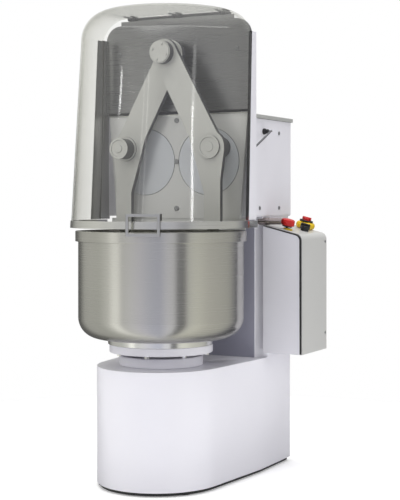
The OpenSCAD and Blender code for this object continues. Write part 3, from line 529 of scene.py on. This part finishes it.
def softened(node: str, material: Material, edge_mm: float, body: Body = Body.MACHINE,
             segments: int = 2, accents: Sequence[Accent] = ()) -> Object:
    """Makes a piece from a node's solid with its sharp edges broken, as sheet and castings have them.

    Args:
        node: The frame's node that the piece stands for.
        material: The finish.
        edge_mm: Width of the broken edges in millimetres.
        body: The body that carries it.
        segments: Steps across such an edge.
        accents: Further finishes on some of the faces.

    Returns:
        The new piece, which hides the node.
    """
    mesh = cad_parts[node].data.copy()
    work = bmesh.new()
    work.from_mesh(mesh)
    bmesh.ops.remove_doubles(work, verts=work.verts, dist=WELD)
    bmesh.ops.dissolve_limit(work, angle_limit=FLAT, verts=work.verts, edges=work.edges)
    work.to_mesh(mesh)
    work.free()
    mesh.validate()
    smooth_by_angle(mesh)
    piece = new_object(f"{node}_dressed", mesh, material)
    for accent in accents:
        mesh.materials.append(accent.material)
        for face in mesh.polygons:
            if accent.holds(face.center, face.normal):
                face.material_index = len(mesh.materials) - 1
    bevel = piece.modifiers.new("broken_edges", "BEVEL")
    bevel.width = edge_mm * MM
    bevel.segments = segments
    bevel.limit_method = "ANGLE"
    bevel.angle_limit = CREASE
    bevel.harden_normals = True
    bevel.use_clamp_overlap = True
    stand_for(piece, node, body)
    return piece


def dress(node: str, material: Material) -> None:
    """Gives a node that keeps its own solid a finish.

    Args:
        node: The node.
        material: The finish.
    """
    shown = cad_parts[node]
    shown.data.materials.clear()
    shown.data.materials.append(material)
    LOG.info("%s: %s", node, material.name)


@dataclass
class Studio:
    """The pale floor, the soft lights and the camera at the photograph's place."""

    turn_deg: float = 27.27
    eye_mm: Triple = (2140.1, -3855.1, 984.0)
    focal_px: float = 1256.8
    horizon_row: float = 201.2
    rows: float = 500.0
    sensor_mm: float = 36.0
    clip_m: float = 60.0
    ring_power: float = 1.3
    soft_power: float = 0.92
    floor_glow: float = 0.25
    floor_m: float = 1.9
    floor_sides: int = 64
    floor_drop_m: float = 0.0005
    strip_mm: float = 3300.0
    halo_mm: Pair = (2900.0, 3120.0)
    halo_deg: Pair = (-128.0, 30.0)
    halo_strength: float = 2.2
    halo_steps: int = 32
    aim_mm: Triple = (0.0, 100.0, 850.0)
    # Bands of the room, as the height share of a ray's direction: where each one blends in.
    high_from: Pair = (0.02, 0.06)
    dim_until: Pair = (0.05, 0.17)
    dim_share: float = 0.4
    ceiling_from: Pair = (0.45, 0.85)
    # Name, bearing in degrees, then height, length and width in millimetres, and strength.
    strip_lamps: tuple[tuple[str, float, float, float, float, float], ...] = (
        ("strip_right", -26.2, 1540, 1180, 70, 9.0),
        ("strip_right_high", -25.5, 2330, 640, 230, 1.2),
        ("strip_middle", -84.0, 1800, 1500, 50, 2.2),
        ("strip_middle_left", -89.1, 1800, 1500, 45, 1.6),
        ("strip_left", -121.5, 2297, 296, 80, 10.0),
    )
    # Name, place in millimetres, width and height in metres, and power in watts.
    soft_boxes: tuple[tuple[str, Triple, float, float, float], ...] = (
        ("key_light", (-1500, -2900, 2300), 1.3, 1.8, 32.0),
        ("fill_light", (3300, -300, 1600), 1.2, 2.0, 29.0),
        ("top_light", (0, 0, 3600), 2.4, 2.4, 75.0),
    )
    ceiling: str = "#F4F4F4"
    low_ring: tuple[tuple[float, str], ...] = (
        (-180, "#ACACA8"), (-155, "#ACADA8"), (-138, "#CCCCC8"), (-131, "#F6F6F2"), (-122, "#F6F6F2"),
        (-117, "#C2C2C1"), (-104, "#CFCFD2"), (-90, "#CBCAD4"), (-76, "#BCBECB"), (-62, "#B4B6C6"),
        (-54, "#D0D0D8"), (-43, "#D4D4D8"), (-39, "#747476"), (-29, "#68686A"), (-24, "#CBCBC6"),
        (-12, "#D4D4CA"), (9, "#BEBDB6"), (45, "#ABABA6"), (62, "#7C7C80"), (70, "#4C4C52"),
        (150, "#5C5C5A"), (170, "#A8A8A4"),
    )
    high_ring: tuple[tuple[float, str], ...] = (
        (-180, "#DADAD4"), (-150, "#D0D0CA"), (-134, "#B4B4B2"), (-100, "#B0B0B0"), (-60, "#A6A6AC"),
        (-10, "#9C9CA0"), (40, "#9A9A9C"), (62, "#8A8A8E"), (90, "#9A9A9A"), (140, "#D2D2CC"),
    )

    def build(self) -> None:
        """Builds the camera, the floor, the world and the lights."""
        bpy.context.scene.view_settings.view_transform = "Standard"
        self.camera()
        self.floor()
        self.world()
        self.lights()
        LOG.info("studio ready")

    def camera(self) -> None:
        """Sets a level camera whose shift keeps the uprights upright, as in the photograph."""
        data = bpy.data.cameras.new("camera")
        data.sensor_width = self.sensor_mm
        data.lens = self.focal_px / self.rows * self.sensor_mm
        data.shift_y = (self.horizon_row - self.rows / 2) / self.rows
        data.clip_end = self.clip_m
        eye = bpy.data.objects.new("camera", data)
        eye.location = place(*self.eye_mm)
        eye.rotation_euler = (math.pi / 2, 0, math.radians(self.turn_deg))
        bpy.context.scene.collection.objects.link(eye)
        bpy.context.scene.camera = eye

    def floor(self) -> None:
        """Lays a wide pale floor."""
        mesh = bpy.data.meshes.new("floor")
        corners = [(x, y, 0) for x, y in circle(self.floor_m, self.floor_sides)]
        mesh.from_pydata(corners, [], [tuple(range(self.floor_sides))])
        paint = PowderCoat("pale_floor", "#FFFFFF", "#FBFBFB", roughness=0.6, peel_depth=0.0).build()
        skin = paint.node_tree.nodes["Principled BSDF"]
        skin.inputs["Emission Color"].default_value = (1.0, 1.0, 1.0, 1.0)
        skin.inputs["Emission Strength"].default_value = self.floor_glow
        floor = new_object("floor", mesh, paint)
        floor.location.z = -self.floor_drop_m
        floor.visible_glossy = False

    def world(self) -> None:
        """Sets a white backdrop, and a ring of soft boxes and flags for the steel to mirror."""
        world = bpy.data.worlds.new("studio_air")
        bpy.context.scene.world = world
        world.use_nodes = True
        tree = world.node_tree
        tree.nodes.clear()
        coords = add_node(tree, "TexCoord")
        way = add_node(tree, "SeparateXYZ", None, {0: coords.outputs["Generated"]})
        turn = add_node(tree, "Math", {"operation": "ARCTAN2"},
                        {0: way.outputs["Y"], 1: way.outputs["X"]})
        around = add_node(tree, "MapRange", {"From Min": -math.pi, "From Max": math.pi},
                          {"Value": turn.outputs[0]})
        low = self.ring(tree, around.outputs["Result"], self.low_ring)
        high = self.ring(tree, around.outputs["Result"], self.high_ring)
        # The air near the horizon is dimmer, as in a room whose walls are darker than its ceiling.
        bands = ((*self.dim_until, self.dim_share), (*self.high_from, 0.0), (*self.ceiling_from, 0.0))
        dim, over, above = (
            add_node(tree, "MapRange", {"From Min": start, "From Max": end, "To Min": least},
                     {"Value": way.outputs["Z"]})
            for start, end, least in bands)
        walls = add_node(tree, "VectorMath", {"operation": "SCALE"},
                         {0: high.outputs["Color"], "Scale": dim.outputs["Result"]})
        sides = add_node(tree, "Mix", {"data_type": "RGBA"},
                         {0: over.outputs["Result"], 6: low.outputs["Color"], 7: walls.outputs["Vector"]})
        dome = add_node(tree, "Mix", {"data_type": "RGBA", 7: linear(self.ceiling)},
                        {0: above.outputs["Result"], 6: sides.outputs[2]})
        path = add_node(tree, "LightPath")
        power = add_node(tree, "MapRange", {"To Min": self.soft_power, "To Max": self.ring_power},
                         {"Value": path.outputs["Is Glossy Ray"]})
        lit = add_node(tree, "Background", None,
                       {"Color": dome.outputs[2], "Strength": power.outputs["Result"]})
        backdrop = add_node(tree, "Background", {"Color": (1.0, 1.0, 1.0, 1.0)})
        seen = add_node(tree, "MixShader", None,
                        {0: path.outputs["Is Camera Ray"], 1: lit.outputs["Background"],
                         2: backdrop.outputs["Background"]})
        output = add_node(tree, "OutputWorld")
        tree.links.new(seen.outputs["Shader"], output.inputs["Surface"])

    def ring(self, tree: NodeTree, around: NodeSocket, tones: Sequence[tuple[float, str]]) -> Node:
        """Adds a ramp of tones right round the horizon.

        Args:
            tree: The world's node tree.
            around: The bearing as a share of a full turn.
            tones: Bearings in degrees with their tones, in order.

        Returns:
            The ramp's node.
        """
        ring = add_node(tree, "ValToRGB", None, {"Fac": around})
        ramp = ring.color_ramp
        for index, (degrees, tone) in enumerate(tones):
            spot = (degrees + 180) / 360
            stop = ramp.elements[index] if index < 1 else ramp.elements.new(spot)
            stop.position = spot
            stop.color = linear(tone)
        ramp.elements.remove(ramp.elements[len(ramp.elements) - 1])
        return ring

    def strips(self, guard: Object) -> None:
        """Stands narrow strip lights that only the clear guard mirrors, as its thin highlights.

        Args:
            guard: The clear guard.
        """
        lit = bpy.data.collections.new("lit_by_strips")
        lit.objects.link(guard)
        for name, bearing, height, tall, wide, strength in self.strip_lamps:
            turn = math.radians(bearing)
            lamp = self.area_lamp(name, self.on_circle(turn, height), wide * MM, tall * MM)
            lamp.data.energy = strength * math.pi * lamp.data.size * lamp.data.size_y
            lamp.rotation_euler = (math.pi / 2, 0, turn + math.pi / 2)
            lamp.visible_camera = False
            lamp.light_linking.receiver_collection = lit
        self.halo(lit)

    @staticmethod
    def area_lamp(name: str, spot: Vector, wide: float, high: float) -> Object:
        """Puts a rectangular lamp in the scene, not yet turned.

        Args:
            name: The lamp's name.
            spot: Its place in the frame.
            wide: Its width in metres.
            high: Its height in metres.

        Returns:
            The lamp.
        """
        data = bpy.data.lights.new(name, "AREA")
        data.shape = "RECTANGLE"
        data.size, data.size_y = wide, high
        lamp = bpy.data.objects.new(name, data)
        lamp.location = spot
        bpy.context.scene.collection.objects.link(lamp)
        return lamp

    def on_circle(self, turn: float, height: float) -> Vector:
        """Finds the point at a bearing and a height on the circle where the strip lights stand."""
        return place(self.strip_mm * math.cos(turn), self.strip_mm * math.sin(turn), height)

    def halo(self, lit: Collection) -> None:
        """Hangs a bent strip light high up in front, which draws the line round the guard's shoulder.

        Args:
            lit: The collection of what it lights.
        """
        low, high = self.halo_mm
        first, last = self.halo_deg
        work = bmesh.new()
        rows = []
        for step in range(self.halo_steps + 1):
            turn = math.radians(first + (last - first) * step / self.halo_steps)
            rows.append([work.verts.new(self.on_circle(turn, z)) for z in (low, high)])
        for left, right in zip(rows, rows[1:]):
            work.faces.new((left[0], right[0], right[1], left[1]))
        material, tree, output = empty_material("strip_light")
        glow = add_node(tree, "Emission", {"Strength": self.halo_strength})
        tree.links.new(glow.outputs["Emission"], output.inputs["Surface"])
        band = new_object("halo", to_mesh(work, "halo"), material)
        band.visible_camera = band.visible_diffuse = band.visible_shadow = False
        band.light_linking.receiver_collection = lit

    def lights(self) -> None:
        """Hangs soft boxes: a key from the front left, a fill from the right and a top light."""
        for name, spot, wide, high, power in self.soft_boxes:
            lamp = self.area_lamp(name, place(*spot), wide, high)
            lamp.data.energy = power
            aim = place(*self.aim_mm) - lamp.location
            lamp.rotation_euler = aim.to_track_quat("-Z", "Y").to_euler()
            lamp.visible_glossy = False


@dataclass
class Base:
    """The painted pedestal with its floor plate, feet and the bowl's hub."""

    nose_half_mm: float = 221.0
    nose_long_mm: float = 236.0
    nose_side_mm: float = 5.0
    nose_lead_mm: float = 6.0
    flare_mm: float = 290.0
    corner_mm: float = 12.0
    hub_hole_mm: float = 60.0
    sheet_mm: float = 3.0
    edge_mm: float = 3.0
    # A black strip under the base, as painted shadow in the gap above the floor: its inset, lift and gap.
    shade_band_inset_mm: float = 9.0
    shade_band_lift_mm: float = 3.0
    shade_band_gap_mm: float = 0.5
    floor_gap_mm: float = 0.3
    foot_edge_mm: float = 2.0
    nose_steps: int = 96
    hole_steps: int = 48
    corner_steps: int = 6
    bend_steps: int = 3

    def build(self, finish: Palette) -> None:
        """Makes the sheet-metal pedestal and dresses what stands in it.

        Args:
            finish: All finishes.
        """
        low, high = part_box("base_housing")
        shell = self.folded(low.z, high.z, 0.0, self.hub_hole_mm)
        self.thicken("base_housing", shell, finish.white_coat, self.sheet_mm, self.edge_mm)
        # The floor plate is black rubber, which also darkens the gap under the base as painted shadow.
        low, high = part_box("base_floor")
        plate = self.folded(high.z, high.z, self.sheet_mm + self.floor_gap_mm, 0.0)
        self.thicken("base_floor", plate, finish.rubber, (high.z - low.z) / MM, 0.0)
        softened("levelling_feet", finish.rubber, self.foot_edge_mm)
        # Painted shadow: the black strip darkens the gap between the base and the floor.
        shade_band = self.folded(self.shade_band_lift_mm * MM, low.z - self.shade_band_gap_mm * MM, self.shade_band_inset_mm, 0.0)
        add_trim("shade_band_strip", shade_band, finish.rubber)
        softened("bowl_hub", finish.white_coat, self.foot_edge_mm)
        dress("bowl_bearings", finish.turned_steel)
        dress("bowl_gearmotor", finish.cast_iron)

    def outline(self, inset: float) -> list[Pair]:
        """Draws the plan: a rounded nose that flares out to the full width, with bent rear corners.

        Args:
            inset: How far the plan is drawn in, in millimetres.

        Returns:
            The points in millimetres about the bowl's axis, in order.
        """
        low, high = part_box("base_housing")
        half = (high.x - low.x) / 2 / MM - inset
        rear = (high.y - AXIS_Y) / MM - inset
        points = []
        for step in range(self.nose_steps + 1):
            turn = math.tau * step / self.nose_steps
            points.append((self.nose_side_mm + (self.nose_half_mm - inset) * math.cos(turn),
                           -self.nose_lead_mm + (self.nose_long_mm - inset) * math.sin(turn)))
        for side in (-1, 1):
            points.append((side * half, self.flare_mm))
            for step in range(self.corner_steps + 1):
                turn = math.pi / 2 * step / self.corner_steps
                points.append((side * (half - self.corner_mm * (1 - math.cos(turn))),
                               rear - self.corner_mm * (1 - math.sin(turn))))
        return [points[index] for index in convex_hull_2d(points)]

    def folded(self, low: float, high: float, inset: float, hole: float) -> Mesh:
        """Folds the plan's top plate and its wall from one sheet.

        Args:
            low: Height of the wall's foot in metres; no wall is made where it equals the top.
            high: Height of the plate in metres.
            inset: How far the plan is drawn in, in millimetres.
            hole: Radius of the hole round the bowl's axis in millimetres, or none at zero.

        Returns:
            The open sheet.
        """
        work = bmesh.new()
        rims = [self.outline(inset)]
        if hole:
            rims.append(circle(hole, self.hole_steps))
        edges = []
        for rim in rims:
            points = [work.verts.new(place(x, y, high / MM)) for x, y in rim]
            edges += [work.edges.new((points[i - 1], points[i])) for i in range(len(points))]
        wall = edges[:len(rims[0])]
        bmesh.ops.triangle_fill(work, edges=edges, use_beauty=True, normal=(0, 0, 1))
        if low < high:
            grown = bmesh.ops.extrude_edge_only(work, edges=wall)["geom"]
            foot = [part for part in grown if isinstance(part, bmesh.types.BMVert)]
            bmesh.ops.translate(work, vec=(0, 0, low - high), verts=foot)
        bmesh.ops.recalc_face_normals(work, faces=work.faces)
        if max(work.faces, key=lambda face: face.calc_center_median().z).normal.z < 0:
            bmesh.ops.reverse_faces(work, faces=work.faces)
        return to_mesh(work, "folded_sheet")

    def thicken(self, node: str, sheet: Mesh, material: Material, thickness: float, edge: float) -> None:
        """Gives an open sheet its bends and its thickness, and lets it stand for a node.

        Args:
            node: The node that it hides.
            sheet: The open sheet.
            material: The finish.
            thickness: The sheet's gauge in millimetres.
            edge: How wide its bends are in millimetres, or none at zero.
        """
        smooth_by_angle(sheet)
        piece = new_object(f"{node}_dressed", sheet, material)
        if edge:
            bend = piece.modifiers.new("bends", "BEVEL")
            bend.width = edge * MM
            bend.segments = self.bend_steps
            bend.limit_method = "ANGLE"
            bend.angle_limit = CREASE
            bend.harden_normals = True
        gauge = piece.modifiers.new("gauge", "SOLIDIFY")
        gauge.thickness = thickness * MM
        gauge.offset = -1
        stand_for(piece, node, Body.MACHINE)


@dataclass
class Column:
    """The column, the gearbox head and their panels."""

    edge_mm: float = 2.0
    panel_edge_mm: float = 1.0
    screw_edge_mm: float = 0.6
    front_half_m: float = 0.24
    stub_mm: Triple = (228.0, 326.0, 911.0)
    stub_profile_mm: Profile = (
        (0, 0), (13.5, 0), (13.5, 40), (12, 41), (12, 90), (10.5, 92), (0, 92),
    )

    def behind_bowl(self, centre: Vector, normal: Vector) -> bool:
        """Tells whether a face belongs to the column's front, between its chamfers."""
        return normal.y < -HEAD_ON and abs(centre.x - AXIS_X) < self.front_half_m

    def build(self, finish: Palette) -> None:
        """Dresses the column and the head.

        Args:
            finish: All finishes.
        """
        # The column's front between its chamfers takes the blue grey coat, which paints the bowl's shade
        # there.
        softened("column_housing", finish.white_coat, self.edge_mm, segments=3,
                 accents=(Accent(finish.column_front_painted_shade, self.behind_bowl),))
        softened("head_housing", finish.white_coat, self.edge_mm)
        softened("head_lid", finish.lid_coat, self.edge_mm)
        softened("side_panels", finish.white_coat, self.panel_edge_mm)
        softened("rear_panel", finish.white_coat, self.screw_edge_mm)
        softened("panel_screws", finish.turned_steel, self.screw_edge_mm)
        stub = lathed(self.stub_profile_mm)
        stub.transform(Matrix.Translation(place(*self.stub_mm)) @ Matrix.Rotation(math.pi / 2, 4, "Y"))
        add_trim("side_stub", stub, finish.chrome)
        softened("cable_gland", finish.black_abs, self.panel_edge_mm)
        softened("mains_gland", finish.black_abs, self.panel_edge_mm)
        dress("sensor_lead", finish.grey_pvc)


@dataclass
class Bulkhead:
    """The front plate, the brushed back panel, the cheeks and the guard's seals."""

    edge_mm: float = 1.0
    cheek_edge_mm: float = 1.5
    seal_edge_mm: float = 0.8
    # Strips: half length, front and back from a face, foot and head from an edge.
    top_rail_mm: tuple[float, ...] = (229.0, -3.0, 0.0, -6.0, 14.0)
    backing_mm: tuple[float, ...] = (208.0, 17.0, 20.0, 9.0, 25.0)
    skirt_mm: tuple[float, ...] = (271.0, 2.0, 5.0, -38.0, 1.0)
    # Height above the front plate's top, and radius.
    gap_seal_mm: Pair = (5.0, 4.5)
    edge_trim_mm: Pair = (-3.0, 2.6)
    # A dark sheet of painted shade on the left cheek: its foot, head, back, gauge and edge.
    shade_sheet_foot_mm: Triple = (298.0, 10.0, 918.6)
    shade_sheet_head_mm: Triple = (288.0, 42.0, 1570.0)
    shade_sheet_back_mm: float = 78.0
    shade_sheet_gauge_mm: float = 1.5
    shade_sheet_edge_mm: float = 0.4

    def shade_sheet(self, finish: Palette) -> None:
        """Makes a thin dark steel sheet that lines the left cheek and reaches forward inside the guard, as
        painted shade on that side.

        Args:
            finish: All finishes.
        """
        work = bmesh.new()
        foot, head, back = self.shade_sheet_foot_mm, self.shade_sheet_head_mm, self.shade_sheet_back_mm
        corners = (foot, (foot[0], back, foot[2]), (head[0], back, head[2]), head)
        faces = []
        for gauge in (0.0, self.shade_sheet_gauge_mm):
            faces.append([work.verts.new(place(gauge - x, y, z)) for x, y, z in corners])
        outer, inner = faces
        for index in range(4):
            work.faces.new((outer[index - 1], outer[index], inner[index], inner[index - 1]))
        work.faces.new(outer)
        work.faces.new(list(reversed(inner)))
        bmesh.ops.recalc_face_normals(work, faces=work.faces)
        bmesh.ops.bevel(work, geom=work.edges[:], offset=self.shade_sheet_edge_mm * MM, segments=2,
                        affect="EDGES", profile=0.5)
        add_trim("cheek_shade_sheet", to_mesh(work, "shade_sheet"), finish.dark_steel)

    @staticmethod
    def faces_inwards(centre: Vector, normal: Vector) -> bool:
        """Tells whether a face of the cheeks looks sideways to the mixer's middle."""
        return normal.x * (centre.x - AXIS_X) < -0.01

    @staticmethod
    def strip(size: tuple[float, ...], face: float, edge: float) -> Mesh:
        """Makes an upright strip that runs along X.

        Args:
            size: Its half length, front, back, foot and head in millimetres.
            face: Where its front and back are counted from, in Y.
            edge: Where its foot and head are counted from, in Z.

        Returns:
            The strip.
        """
        reach, front, back, foot, head = size
        corners = [(front, foot), (back, foot), (back, head), (front, head)]
        return drawn_out([(face + y, edge + z) for y, z in corners], -reach, reach)

    @staticmethod
    def half_round(face: float, height: float, radius: float, steps: int = 8) -> list[Pair]:
        """Draws a half-round section that lies against a face and bulges forwards."""
        turns = [math.pi * (step / steps - 0.5) for step in range(steps + 1)]
        return [(face - radius * math.cos(turn), height + radius * math.sin(turn)) for turn in turns]

    def build(self, finish: Palette) -> None:
        """Dresses the bulkhead.

        Args:
            finish: All finishes.
        """
        softened("front_plate", finish.plate_coat, self.edge_mm)
        softened("back_panel", finish.dark_steel, self.edge_mm)
        # The cheeks' inner faces take the darker brushed steel of the back panel; their darkness there is
        # painted shade.
        softened("cheeks", finish.white_coat, self.cheek_edge_mm,
                 accents=(Accent(finish.dark_steel, self.faces_inwards),))
        softened("guard_seals", finish.rubber, self.seal_edge_mm)
        self.shade_sheet(finish)
        low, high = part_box("back_panel")
        top, face = high.z / MM, (low.y - AXIS_Y) / MM
        for name, size in (("panel_top_rail", self.top_rail_mm), ("hinge_backing", self.backing_mm)):
            add_trim(name, self.strip(size, face, top), finish.dark_steel)
        low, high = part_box("front_plate")
        top, face = high.z / MM, (low.y - AXIS_Y) / MM
        reach = (high.x - low.x) / 2 / MM
        skirt = self.strip(self.skirt_mm, face, low.z / MM)
        add_trim("plate_skirt", skirt, finish.plate_coat)
        for name, (lift, radius), material, slot in (
                ("plate_gap_seal", self.gap_seal_mm, finish.rubber, "black_rubber"),
                ("plate_edge_trim", self.edge_trim_mm, finish.bright_steel, "brushed_stainless")):
            section = self.half_round(face, top + lift, radius)
            add_trim(name, drawn_out(section, -reach, reach), material)
        softened("hinge_blocks", finish.black_abs, self.edge_mm)


@dataclass
class Drive:
    """The motor, belt, gears and bearings inside the housings."""

    def build(self, finish: Palette) -> None:
        """Gives the inner pieces their finishes.

        Args:
            finish: All finishes.
        """
        for node in ("motor", "gearbox_case", "motor_pulley", "input_pulley"):
            dress(node, finish.cast_iron)
        for node in ("crank_bearings", "input_bearings", "crank_shaft_left", "crank_shaft_right"):
            dress(node, finish.turned_steel)
        for node in ("crank_gear_left", "crank_gear_right", "input_shaft", "idler_gear"):
            dress(node, finish.oiled_steel)
        dress("drive_belt", finish.rubber)


@dataclass
class Arms:
    """The two plate arms on their crank discs, with caps, hands and the top pin."""

    edge_mm: float = 1.5
    hand_edge_mm: float = 1.0
    disc_edge_mm: float = 0.8

    def build(self, finish: Palette) -> None:
        """Dresses both arms.

        Args:
            finish: All finishes.
        """
        sides = ((Body.ARM_LEFT, Body.CRANK_LEFT, "left"), (Body.ARM_RIGHT, Body.CRANK_RIGHT, "right"))
        # The flanks take the near-black coat, which paints the shade that falls on them.
        flanks = (Accent(finish.flank_painted_shade, faces_sideways),)
        for arm, crank, side in sides:
            softened(f"arm_{side}", finish.arm_paint, self.edge_mm, arm, 3, flanks)
            softened(f"knee_cap_{side}", finish.arm_paint, self.edge_mm, arm, accents=flanks)
            softened(f"hand_{side}", finish.bright_steel, self.hand_edge_mm, arm)
            softened(f"crank_{side}", finish.disc_coat, self.disc_edge_mm, crank, accents=flanks)
        softened("top_pin", finish.arm_paint, self.edge_mm, Body.ARM_RIGHT, accents=flanks)


@dataclass
class Bowl:
    """The stainless bowl, its ring and the drive flange."""

    edge_mm: float = 1.5
    flange_edge_mm: float = 2.0
    bolt_edge_mm: float = 0.8

    def build(self, finish: Palette) -> None:
        """Dresses the bowl.

        Args:
            finish: All finishes.
        """
        softened("bowl", finish.bowl_steel, self.edge_mm, Body.BOWL)
        softened("bowl_ring", finish.bright_steel, self.edge_mm, Body.BOWL)
        softened("drive_flange", finish.white_coat, self.flange_edge_mm, Body.BOWL)
        softened("flange_bolts", finish.bright_steel, self.bolt_edge_mm, Body.BOWL)


@dataclass
class Guard:
    """The clear guard with its steel band, handle and hinge."""

    sheet_edge_mm: float = 0.8
    rim_edge_mm: float = 0.6
    handle_edge_mm: float = 1.5
    handle_turn_deg: float = 19.0
    bar_back_mm: float = 331.5
    sheet: Object | None = None

    def behind_bar(self, centre: Vector, normal: Vector) -> bool:
        """Tells whether a face of the handle belongs to the brackets behind its bar."""
        way = Matrix.Rotation(math.radians(self.handle_turn_deg), 2) @ Vector((0.0, -1.0))
        return way.dot(centre.xy - Vector((AXIS_X, AXIS_Y))) < self.bar_back_mm * MM

    def build(self, finish: Palette) -> None:
        """Dresses the guard.

        Args:
            finish: All finishes.
        """
        self.sheet = softened("guard", finish.clear, self.sheet_edge_mm, Body.GUARD)
        softened("guard_rim", finish.bright_steel, self.rim_edge_mm, Body.GUARD)
        softened("guard_handle", finish.handle_steel, self.handle_edge_mm, Body.GUARD, 3,
                 (Accent(finish.black_abs, self.behind_bar),))
        softened("hinge_leaf", finish.anodised, self.sheet_edge_mm, Body.GUARD)


@dataclass
class ControlBox:
    """The control box with its gasket, cover and controls."""

    slope_deg: float = 13.5
    button_mm: Pair = (69.0, 52.0)
    knob_mm: Pair = (98.0, 152.0)
    switch_mm: Pair = (73.0, 215.0)
    plate_mm: Triple = (62.0, 56.0, 28.0)
    cover_mm: float = 2.0
    bead_mm: float = 3.5
    bead_lift_mm: float = 0.8
    bead_reach_mm: float = 2.0
    edge_mm: float = 1.0
    front_edge_mm: float = 0.5
    cover_edge_mm: float = 0.6
    # Outlines of the turned controls as radius and height, and bars as length, width and height.
    cap_mm: Profile = (
        (0, -10), (5, -10), (5, 12), (17.5, 12), (18.5, 13), (18.5, 16), (23.5, 17.5), (25, 20),
        (25, 34), (24, 38), (20, 40.5), (10, 42), (0, 42.5),
    )
    cap_collar_mm: float = 17.0
    knob_skirt_mm: Profile = (
        (0, -8), (5, -8), (5, 8.4), (17.5, 8.4), (18.5, 9.4), (18, 19), (16, 21.5), (0, 21.5),
    )
    knob_bar_mm: Triple = (36.0, 11.0, 13.0)
    knob_bar_lift_mm: float = 17.0
    stem_mm: Profile = ((0, -6), (8, -6), (8, 3), (0, 3))
    handle_gap_mm: float = 0.5
    handle_mm: Profile = (
        (0, 0), (24.5, 0), (25.5, 1), (25.5, 4), (24.5, 5), (13.5, 5.2), (13.5, 12), (12, 14),
        (0, 14.5),
    )
    handle_collar_mm: float = 5.2
    handle_bar_mm: Triple = (34.0, 10.0, 12.0)
    handle_bar_lift_mm: float = 5.4

    def build(self, finish: Palette) -> None:
        """Dresses the box and makes its controls.

        Args:
            finish: All finishes.
        """
        softened("box_body", finish.white_coat, self.edge_mm)
        softened("box_front", finish.white_coat, self.front_edge_mm,
                 accents=(Accent(finish.rubber, faces_sideways),))
        softened("box_gasket", finish.rubber, self.front_edge_mm)
        self.edge_bead(finish)
        softened("box_cover", finish.cover_coat, self.cover_edge_mm)
        softened("estop_ring", finish.yellow_abs, self.edge_mm)
        softened("selector_base", finish.black_abs, self.edge_mm)
        self.button(finish)
        self.knob(finish)
        self.switch(finish)

    def edge_bead(self, finish: Palette) -> None:
        """Makes the black rubber bead that runs down the slope and the outer edge of the box's front.

        Args:
            finish: All finishes.
        """
        low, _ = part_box("box_front")
        side, foot = low.x + self.bead_reach_mm * MM, low.z + self.bead_reach_mm * MM
        work = bmesh.new()
        work.from_mesh(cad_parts["box_front"].data)
        bmesh.ops.remove_doubles(work, verts=work.verts[:], dist=WELD)
        front = [face for face in work.faces if face.normal.y < -HEAD_ON]
        inset = bmesh.ops.inset_region(work, faces=front, thickness=self.bead_mm * MM, depth=0.0)
        ring = set(inset["faces"])
        spare = []
        for face in work.faces:
            centre = face.calc_center_median()
            if face not in ring or centre.x < side or centre.z < foot:
                spare.append(face)
        bmesh.ops.delete(work, geom=spare, context="FACES")
        grown = bmesh.ops.extrude_face_region(work, geom=work.faces[:])["geom"]
        bmesh.ops.translate(work, vec=(0, -self.bead_lift_mm * MM, 0),
                            verts=[part for part in grown if isinstance(part, bmesh.types.BMVert)])
        bmesh.ops.recalc_face_normals(work, faces=work.faces)
        add_trim("box_edge_bead", to_mesh(work, "bead"), finish.rubber)

    def on_slope(self, spot: Pair) -> Matrix:
        """Finds the place and tilt of a control.

        Args:
            spot: Millimetres from the column's side and behind the box's front.

        Returns:
            The matrix that stands a piece on the steel slope.
        """
        low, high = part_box("box_front")
        out, back = spot
        z = high.z - out * MM * math.tan(math.radians(self.slope_deg))
        foot = Vector((low.x + out * MM, low.y + back * MM, z))
        return Matrix.Translation(foot) @ Matrix.Rotation(math.radians(self.slope_deg), 4, "Y")

    def set_on_slope(self, node: str, body: Body, mesh: Mesh, spot: Pair,
                     material: Material, dark: Material | None = None,
                     dark_below: float = 0.0) -> None:
        """Stands a control on the slope in its node's place.

        Args:
            node: The node that it stands for.
            body: The body that carries it.
            mesh: The control, upright at the origin.
            spot: Its place on the slope.
            material: Its finish.
            dark: The finish of its lower part, if that has another.
            dark_below: Height of that part in millimetres.
        """
        smooth_by_angle(mesh)
        piece = new_object(f"{node}_dressed", mesh, material)
        if dark:
            mesh.materials.append(dark)
            for face in mesh.polygons:
                face.material_index = int(face.center.z < dark_below * MM)
        mesh.transform(self.on_slope(spot))
        stand_for(piece, node, body)

    def button(self, finish: Palette) -> None:
        """Makes the red stop button: a tall mushroom on a black collar."""
        self.set_on_slope("estop_button", Body.ESTOP, lathed(self.cap_mm), self.button_mm,
                          finish.red_abs, finish.black_abs, self.cap_collar_mm)

    def knob(self, finish: Palette) -> None:
        """Makes the black selector: a wide skirt with a grip bar across it.

        Args:
            finish: All finishes.
        """
        knob = lathed(self.knob_skirt_mm)
        add_bar(knob, self.knob_bar_mm, self.knob_bar_lift_mm)
        self.set_on_slope("selector_knob", Body.SELECTOR, knob, self.knob_mm, finish.black_abs)

    def switch(self, finish: Palette) -> None:
        """Makes the main switch: a yellow block with a black disc, and a red knob with a grip bar.

        Args:
            finish: All finishes.
        """
        block = lathed(self.stem_mm)
        add_bar(block, self.plate_mm, self.cover_mm)
        self.set_on_slope("switch_plate", Body.MACHINE, block, self.switch_mm, finish.yellow_abs)
        foot = self.cover_mm + self.plate_mm[2] + self.handle_gap_mm
        handle = lathed([(radius, foot + height) for radius, height in self.handle_mm])
        add_bar(handle, self.handle_bar_mm, foot + self.handle_bar_lift_mm)
        self.set_on_slope("switch_handle", Body.SWITCH, handle, self.switch_mm, finish.red_abs,
                          finish.black_abs, foot + self.handle_collar_mm)


def main() -> None:
    """Builds the studio, then each sub-assembly in order."""
    logging.basicConfig(level=logging.INFO, format="%(name)s: %(message)s")
    studio = Studio()
    studio.build()
    finish = Palette()
    guard = Guard()
    for part in (Base(), Column(), Bulkhead(), Drive(), Arms(), Bowl(), guard, ControlBox()):
        part.build(finish)
        LOG.info("%s done", type(part).__name__)
    studio.strips(guard.sheet)


if __name__ == "__main__":
    main()
